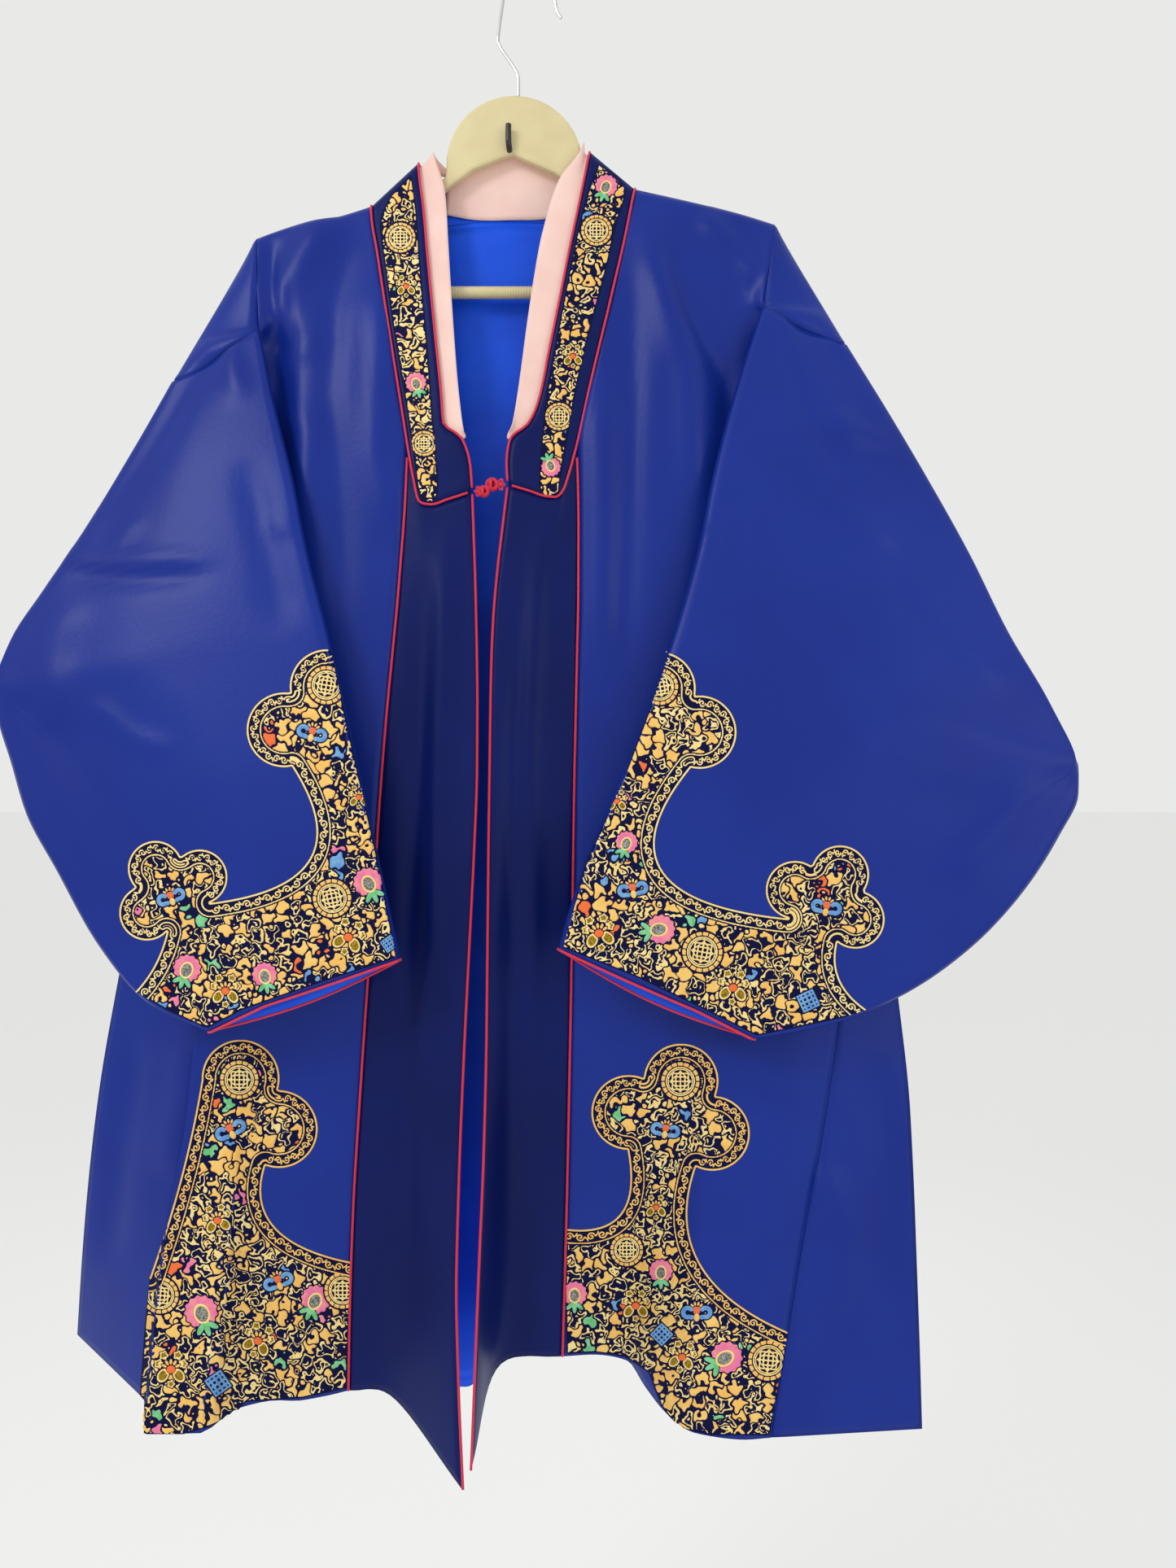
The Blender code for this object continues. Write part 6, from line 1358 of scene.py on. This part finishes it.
def field_values(field, x, y, salt):
    """The foil of each look on the lattice: positive where there is foil."""
    line, outline = field_lines(field)
    inside = inside_of(x, y, outline)
    places = np.stack([x, y], axis=-1)
    values = {}
    if line is None:
        border_distance = np.full(x.shape, 1e3)
        rest_distance, _ = line_distance(places, np.concatenate([outline, outline[:1]]))
    else:
        border_distance, share = line_distance(places, line)
        rest = np.concatenate([line[-1:], np.asarray(field["rest"], float), line[:1]])
        rest_distance, _ = line_distance(places, rest)
        edge = np.minimum(rest_distance, border_distance)
        band = np.minimum(border_foil(line, border_distance, share), np.where(inside, edge, -edge))
        values[field["band"]] = band
    room = np.where(inside, np.minimum(border_distance - BAND, rest_distance - .6), -1)
    hulls = add_motifs(values, field["motifs"], x, y, room)
    cell_size = STRIP_CELL if line is None else FIELD_CELL
    add_filler(values, x, y, salt, cell_size, np.minimum(room - 1.2, -hulls - 1.6))
    return values


def surface_depth(field, x, y):
    """How deep the field's cloth lies behind places of the picture, from a coarser lattice of rays."""
    grids = [SHELLS[field[key]]["grid"] for key in ("piece", "beside") if key in field]
    trees = []
    for grid in grids:
        corners = [tuple(point) for point in grid.reshape(-1, 3)]
        trees.append(BVHTree.FromPolygons(corners, grid_faces(*grid.shape[:2]).tolist()))
    step = RAY_STEP
    xs = np.arange(x.min() - 2 * step, x.max() + 3 * step, step)
    ys = np.arange(y.min() - 2 * step, y.max() + 3 * step, step)
    depth = np.full((len(ys), len(xs)), np.nan)
    origin = Vector(CAMERA)
    for i, py in enumerate(ys):
        for j, px in enumerate(xs):
            ray = sight((px, py))
            hits = [tree.ray_cast(origin, Vector(ray))[0] for tree in trees]
            depths = [hit.y - CAMERA[1] for hit in hits if hit is not None]
            if depths:
                depth[i, j] = min(depths)
    # Places just outside the cloth take the depth of their neighbours
    for _ in range(2):
        padded = np.pad(depth, 1, constant_values=np.nan)
        around = np.stack([padded[1:-1, :-2], padded[1:-1, 2:], padded[:-2, 1:-1], padded[2:, 1:-1]])
        count = np.isfinite(around).sum(axis=0)
        mean = np.nansum(around, axis=0) / np.maximum(count, 1)
        depth = np.where(np.isnan(depth) & (count > 0), mean, depth)
    fx, fy = (x - xs[0]) / step, (y - ys[0]) / step
    ix, iy = np.floor(fx).astype(int), np.floor(fy).astype(int)
    fx, fy = fx - ix, fy - iy
    return ((depth[iy, ix] * (1 - fx) + depth[iy, ix + 1] * fx) * (1 - fy)
            + (depth[iy + 1, ix] * (1 - fx) + depth[iy + 1, ix + 1] * fx) * fy)


def relief(name, x, y, value, depth, lift, dome, look):
    """A raised skin over the places with a positive value: its rim lies low, its middle stands up."""
    value = np.where(np.isfinite(depth), value, NOWHERE)
    value = np.where(np.abs(value) < 1e-6, -1e-6, value)
    depth = np.where(np.isfinite(depth), depth, 1.0)
    inside = value > 0
    if not inside.any():
        return None
    height = lift + dome * np.sqrt(np.clip(value / DOME_DEPTH, 0, 1))
    numbers = np.full(value.shape, -1)
    numbers[inside] = np.arange(inside.sum())
    points = [np.column_stack([x[inside], y[inside], depth[inside] - height[inside]])]
    total = int(inside.sum())
    crossings = []
    for axis in (1, 0):
        a = value[:, :-1] if axis == 1 else value[:-1]
        b = value[:, 1:] if axis == 1 else value[1:]
        cross = (a > 0) != (b > 0)
        share = (a / np.where(a == b, 1, a - b))[cross]
        mixed = []
        for source in (x, y, depth - lift):
            first = (source[:, :-1] if axis == 1 else source[:-1])[cross]
            second = (source[:, 1:] if axis == 1 else source[1:])[cross]
            mixed.append(first + (second - first) * share)
        marks = np.full(a.shape, -1)
        marks[cross] = total + np.arange(cross.sum())
        total += int(cross.sum())
        points.append(np.column_stack(mixed))
        crossings.append(marks)
    across, down = crossings
    corners = [numbers[:-1, :-1], numbers[:-1, 1:], numbers[1:, 1:], numbers[1:, :-1]]
    edges = [across[:-1], down[:, 1:], across[1:], down[:, :-1]]
    case = sum((corner >= 0).astype(int) << k for k, corner in enumerate(corners))
    faces = []
    for kind in range(1, 16):
        chosen = case == kind
        if not chosen.any():
            continue
        loop = []
        for k in range(4):
            here, ahead = kind >> k & 1, kind >> (k + 1) % 4 & 1
            if here:
                loop.append(corners[k][chosen])
            if here != ahead:
                loop.append(edges[k][chosen])
        faces += np.stack(loop[::-1], axis=-1).tolist()
    points = np.concatenate(points)
    places = CAMERA + sight(points[:, :2]) * points[:, 2:3]
    item = mesh_object(name, places, faces, LOOKS[look])
    return item


def lattice(field, whole, spacing):
    """The lattice over a field, and the depth of the cloth behind it."""
    reached = whole if field["border"] else np.array(field["rest"], float)
    low, high = reached.min(axis=0) - 4, reached.max(axis=0) + 4
    x, y = np.meshgrid(np.arange(low[0], high[0], spacing), np.arange(low[1], high[1], spacing))
    return x, y, surface_depth(field, x, y)


def ornament():
    """All the fields of ornament, as pieces that lie on their shell."""
    laid = {}
    for salt, (name, field) in enumerate(FIELDS.items(), start=3):
        _, whole = field_lines(field)
        x, y, depth = lattice(field, whole, GROUND_LATTICE)
        edge, _ = line_distance(np.stack([x, y], axis=-1), np.concatenate([whole, whole[:1]]))
        value = np.where(inside_of(x, y, whole), edge, -edge)
        made = [relief("ground_" + name, x, y, value, depth, GROUND_LIFT, 0, "ground")]
        x, y, depth = lattice(field, whole, LATTICE)
        made += [relief(look + "_" + name, x, y, value, depth, FOIL_LIFT, FOIL_DOME, look)
                 for look, value in field_values(field, x, y, salt).items()]
        laid.setdefault(field["piece"], []).extend(item for item in made if item is not None)
    return laid


LAID = ornament()

# Trim, lining, inner collar and the hanger's bar

CORD_STEP = 0.003           # spacing of a cord's rings
CORD_SIDES = 8
CORD_RADIUS = 0.0011
CORD_LIFT = 0.8             # how far a piping's middle lies off the cloth, in cord radii
COLLAR_START = 0.0006       # how far the cords stop short of their edge's ends
OUTER_END = 0.003
INNER_END = 0.0035
FRONT_START = 0.0025
HEM_END = 0.0005
KNOT_CORD = 0.0017
KNOT_POINTS = 24            # points round each ring of a knot, or loop of its fan
FAN_CORD = 0.0009
FAN_SIDES = 6
BAR_RIB = 0.0024            # length of one rib of the trouser bar
BAR_POINTS = 700
BAR_SIDES = 16
RIB_MIDDLE = 0.965          # mean and swing of the ribbed bar's radius, in bar radii
RIB_SWING = 0.035
COLLAR_CELL = 0.004         # size of the inner collar's faces
COLLAR_REACH = 0.014        # how far the inner collar's back stretch runs on behind its left half


def loose_cord(path, radius, sides, closed=False, ribs=None):
    """Points and faces of a round cord along a path."""
    path = np.asarray(path, float)
    if closed:
        tangents = unit(np.roll(path, -1, axis=0) - np.roll(path, 1, axis=0))
    else:
        tangents = unit(np.gradient(path, axis=0))
    across = np.cross(tangents[0], (0, 1, 0))
    if np.linalg.norm(across) < .1:
        across = np.cross(tangents[0], (1, 0, 0))
    angles = np.arange(sides) * 2 * math.pi / sides
    rings = []
    for i, (point, tangent) in enumerate(zip(path, tangents)):
        across = unit(across - tangent * np.dot(across, tangent))
        up = np.cross(tangent, across)
        own = radius * (1 if ribs is None else ribs[i])
        rings.append(point + own * (np.outer(np.cos(angles), across) + np.outer(np.sin(angles), up)))
    count = len(path)
    index = np.arange(count * sides).reshape(count, sides)
    ahead = np.roll(index, -1, axis=0) if closed else index[1:]
    here = index if closed else index[:-1]
    quads = np.stack([here, np.roll(here, -1, axis=1), np.roll(ahead, -1, axis=1), ahead], axis=-1)
    faces = quads.reshape(-1, 4).tolist()
    if not closed:
        faces.append(index[0, ::-1].tolist())
        faces.append(index[-1].tolist())
    return np.concatenate(rings), faces


def cords(name, parts, look):
    """One object from several cords."""
    points, faces, start = [], [], 0
    for own_points, own_faces in parts:
        points.append(own_points)
        faces += [[start + k for k in face] for face in own_faces]
        start += len(own_points)
    return mesh_object(name, np.concatenate(points), faces, look)


def cut_short(path, start, end):
    """The path without its ends, with even short steps."""
    steps = np.linalg.norm(np.diff(path, axis=0), axis=1)
    places = np.concatenate([[0], np.cumsum(steps)])
    at = np.linspace(start, places[-1] - end, max(3, int(places[-1] / CORD_STEP)))
    return np.column_stack([np.interp(at, places, path[:, k]) for k in range(3)])


def trim():
    """The red piping, as round cord on the shells' edges."""
    lift = CORD_RADIUS * CORD_LIFT
    for letter in "lr":
        band, normal = (SHELLS["collar_band_" + letter][key] for key in ("grid", "normals"))
        path = np.vstack([band[:, 0] + normal[:, 0] * lift, band[-1, 1:] + normal[-1, 1:] * lift])
        paths = {"collar_piping_outer_": cut_short(path, COLLAR_START, OUTER_END)}
        beyond = edge_side(band[:, -1], normal[:, -1], band[:, -2])
        paths["collar_piping_inner_"] = cut_short(band[:, -1] + beyond * lift, COLLAR_START, INNER_END)
        front, normal = (SHELLS["front_panel_" + letter][key] for key in ("grid", "normals"))
        join = pieces["front_panel_" + letter][0][JOIN_ROW, 0]
        first = int(np.linalg.norm(front[:, 0] - join, axis=1).argmin())
        paths["seam_piping_"] = cut_short((front + normal * lift)[first:, 0], SEAM_PIPING_START, HEM_END)
        centre, normal = (SHELLS["centre_panel_" + letter][key] for key in ("grid", "normals"))
        beyond = edge_side(centre[:, -1], normal[:, -1], centre[:, -2])
        paths["front_piping_"] = cut_short(centre[:, -1] + beyond * lift, FRONT_START, HEM_END)
        sleeve, normal = (SHELLS["sleeve_" + letter][key][:, :-1] for key in ("grid", "normals"))
        around = unit(np.roll(sleeve[-1], -1, axis=0) - np.roll(sleeve[-1], 1, axis=0))
        paths["cuff_piping_"] = sleeve[-1] + side_of(around, sleeve[-1], normal[-1], sleeve[-2]) * lift
        for name, path in paths.items():
            closed = name == "cuff_piping_"
            item = cords("cord_" + name + letter, [loose_cord(path, CORD_RADIUS, CORD_SIDES, closed)],
                         LOOKS["red"])
            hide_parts(name + letter)


# How each ring of a knot is turned and tipped, and how the loops of its fan lean, in radians
KNOT_RINGS = ((0, .35), (1.05, -.35), (2.1, .2), (1.57, 1.3))
FAN_LEANS = (-1.0, 0, 1.0)

# The frog's halves: piece, side, way it points, reach of its stem, radius of its rings, length of its loops
FROGS = (
    ("frog_button", "r", -1, .0104, .0043, .0052),
    ("frog_loop", "l", 1, .0072, .0036, .0045),
)


def knot_parts(start, direction, reach, radius, fan):
    """A knot of wound cords, its stem, and a small fan of loops at its outer end."""
    parts = []
    centre = start + np.array([direction * reach, 0, 0])
    angles = np.linspace(0, 2 * math.pi, KNOT_POINTS + 1)[:-1]
    for tilt, roll in KNOT_RINGS:
        swing = np.sin(angles)
        ring = np.column_stack([np.cos(angles), swing * math.sin(roll), swing * math.cos(roll)])
        c, s = math.cos(tilt), math.sin(tilt)
        turn = np.array(((c, 0, s), (0, 1, 0), (-s, 0, c)))
        parts.append(loose_cord(centre + ring @ turn.T * radius, KNOT_CORD, CORD_SIDES, True))
    stem = np.array([start + np.array([direction * reach * t, 0, 0]) for t in (0, .3, .6, .9)])
    parts.append(loose_cord(stem, KNOT_CORD, CORD_SIDES))
    for lean in FAN_LEANS:
        along_loop = np.array([math.cos(lean) * -direction, 0, math.sin(lean)])
        over = np.array([-along_loop[2], 0, along_loop[0]])
        root = start + np.array([direction * fan * .9, 0, 0])
        loop = np.array([root + along_loop * fan * (.5 - .5 * math.cos(a)) + over * fan * .26 * math.sin(a)
                         for a in angles])
        parts.append(loose_cord(loop, FAN_CORD, FAN_SIDES, True))
    return parts


def frogs():
    """The knotted button and the knotted loop."""
    for name, letter, direction, reach, radius, fan in FROGS:
        end = pieces["collar_band_" + letter][0][-1, -1]
        start = end + np.array([direction * (2 * PIPING_RADIUS + 2.6 * PIPING_GAP), -.0015, 0])
        item = cords("knot_" + name, knot_parts(start, direction, reach, radius, fan), LOOKS["red"])
        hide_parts(name)


def inside_grids():
    """The grids of the back lining and of the inner collar's three stretches."""
    back = pieces["back_panel"][0]
    middle = back.shape[1] // 2
    inside = back - unit(grid_normals(back, False)) * LINING_INSET
    part = inside[:, middle - NECK_COLS:middle + NECK_COLS + 1]
    from_middle = np.abs(np.arange(part.shape[1]) - NECK_COLS) / NECK_COLS
    top = part[1] + (part[LINING_TOP_ROW] - part[1]) * (from_middle ** 2)[:, None]
    bottom = part[-1] + unit(part[-2] - part[-1]) * HEM_RISE_OF_LINING
    grids = {"back_lining": (np.vstack([[top], part[LINING_TOP_ROW + 2:-1:2], [bottom]]), False, "lining")}
    for letter in "lr":
        band = halves[letter]["band"]
        normal = unit(grid_normals(band, pieces["collar_band_" + letter][1]))
        rows = slice(NECK_COLS - 3, len(band) - 2)
        under = band - normal * INNER_COLLAR_DEPTH
        beyond = edge_side(band[:, -1], normal[:, -1], band[:, -2])[rows] * INNER_COLLAR_STEP
        hidden = under[rows, -1] * .7 + under[rows, -2] * .3
        edge = under[rows, -1]
        half = halves[letter]["half"]
        behind = np.array(NECK_SHARES[-4:])
        behind = (behind - behind[0]) / (1 - behind[0])
        shown = np.vstack([spline(onto_shoulder(half["inner_collar_behind"]), behind),
                           spline(over_shoulder(half["inner_collar_edge"]), along_shares(edge[3:]))[1:]])
        grid = np.stack([hidden, edge, edge + beyond, shown], axis=1)
        grids["inner_collar_" + letter] = (grid, letter == "l", "pink")
    lower = spline(INNER_COLLAR_BACK_LOW, even(INNER_COLLAR_BACK_COLS))
    upper = spline(INNER_COLLAR_BACK_TOP, even(INNER_COLLAR_BACK_COLS))
    reach = np.linspace(1, 0, len(upper))[:, None] ** 3 * np.array((-COLLAR_REACH, 0, 0))
    lower, upper = lower + reach, upper + reach
    grids["inner_collar_back"] = (np.array([upper, (upper + lower) / 2, lower]), True, "pink")
    return grids


inside = inside_grids()
for name, (grid, flip, look) in inside.items():
    fine = fine_grid(grid, COLLAR_CELL if look == "pink" else CELL)
    fine = creased(name, fine, grid_normals(fine, flip))
    item = shell("shell_" + name, fine, grid_normals(fine, flip), flip, LOOKS[look], LOOKS[look], INSIDE_WALL)
    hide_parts(name)
trim()
frogs()
left_end, right_end = LEFT_ARM_END + PIPING_GAP, RIGHT_ARM_END - PIPING_GAP
along_bar = np.linspace(left_end, right_end, BAR_POINTS)
ribs = RIB_MIDDLE + RIB_SWING * np.cos(along_bar / BAR_RIB * 2 * math.pi)
bar_line = np.column_stack([along_bar, along_bar * 0, along_bar * 0 + BAR_HEIGHT])
bar = cords("ribbed_bar", [loose_cord(bar_line, BAR_RADIUS, BAR_SIDES, False, ribs)], LOOKS["wood"])
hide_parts("trouser_bar")
for node, look in (("hanger_board", "wood"), ("hanger_hook", "steel"), ("bag_hook", "black")):
    cad = bpy.data.objects[node]
    cad.data.materials.clear()
    cad.data.materials.append(LOOKS[look])


# Floor, light and camera

FLOOR_DROP = 0.9            # the floor lies this far below the coat
FLOOR_HALF = 60
PICTURE_HEIGHT = 1927
SENSOR = 36

# Lamps: label, place, power, size
AIM = (0, 0, -.7)
LAMPS = (
    ("key", (-1.6, -2.0, 0.9), 22, .8),
    ("fill", (2.0, -1.8, -0.2), 6, 1.0),
    ("rear", (0.4, 2.4, 0.6), 8, 2.0),
)


def studio():
    """A pale floor far below, soft light and the camera."""
    mesh = bpy.data.meshes.new("floor")
    low = float(cad_low[2]) - FLOOR_DROP
    corners = [(across * FLOOR_HALF, away * FLOOR_HALF, low)
               for across, away in ((-1, -1), (1, -1), (1, 1), (-1, 1))]
    mesh.from_pydata(corners, [], [(0, 1, 2, 3)])
    floor = bpy.data.objects.new("floor", mesh)
    bpy.context.scene.collection.objects.link(floor)
    mesh.materials.append(plain("pale_floor", tint(248, 248, 247), .9, gloss=.1))
    world = bpy.data.worlds.new("studio")
    bpy.context.scene.world = world
    world.use_nodes = True
    world.node_tree.nodes["Background"].inputs["Color"].default_value = tint(233, 234, 232)
    world.node_tree.nodes["Background"].inputs["Strength"].default_value = 1.0
    bpy.context.scene.view_settings.view_transform = "Standard"
    for label, place, power, size in LAMPS:
        lamp = bpy.data.lights.new(label, "AREA")
        lamp.energy = power
        lamp.shape = "DISK"
        lamp.size = size
        item = bpy.data.objects.new(label, lamp)
        item.location = place
        item.rotation_euler = (Vector(AIM) - Vector(place)).to_track_quat("-Z", "Y").to_euler()
        bpy.context.scene.collection.objects.link(item)
    data = bpy.data.cameras.new("camera")
    data.sensor_width = SENSOR
    data.lens = FOCUS / PICTURE_HEIGHT * SENSOR
    camera = bpy.data.objects.new("camera", data)
    camera.location = tuple(CAMERA)
    camera.rotation_euler = (math.pi / 2, 0, 0)
    bpy.context.scene.collection.objects.link(camera)
    bpy.context.scene.camera = camera


studio()
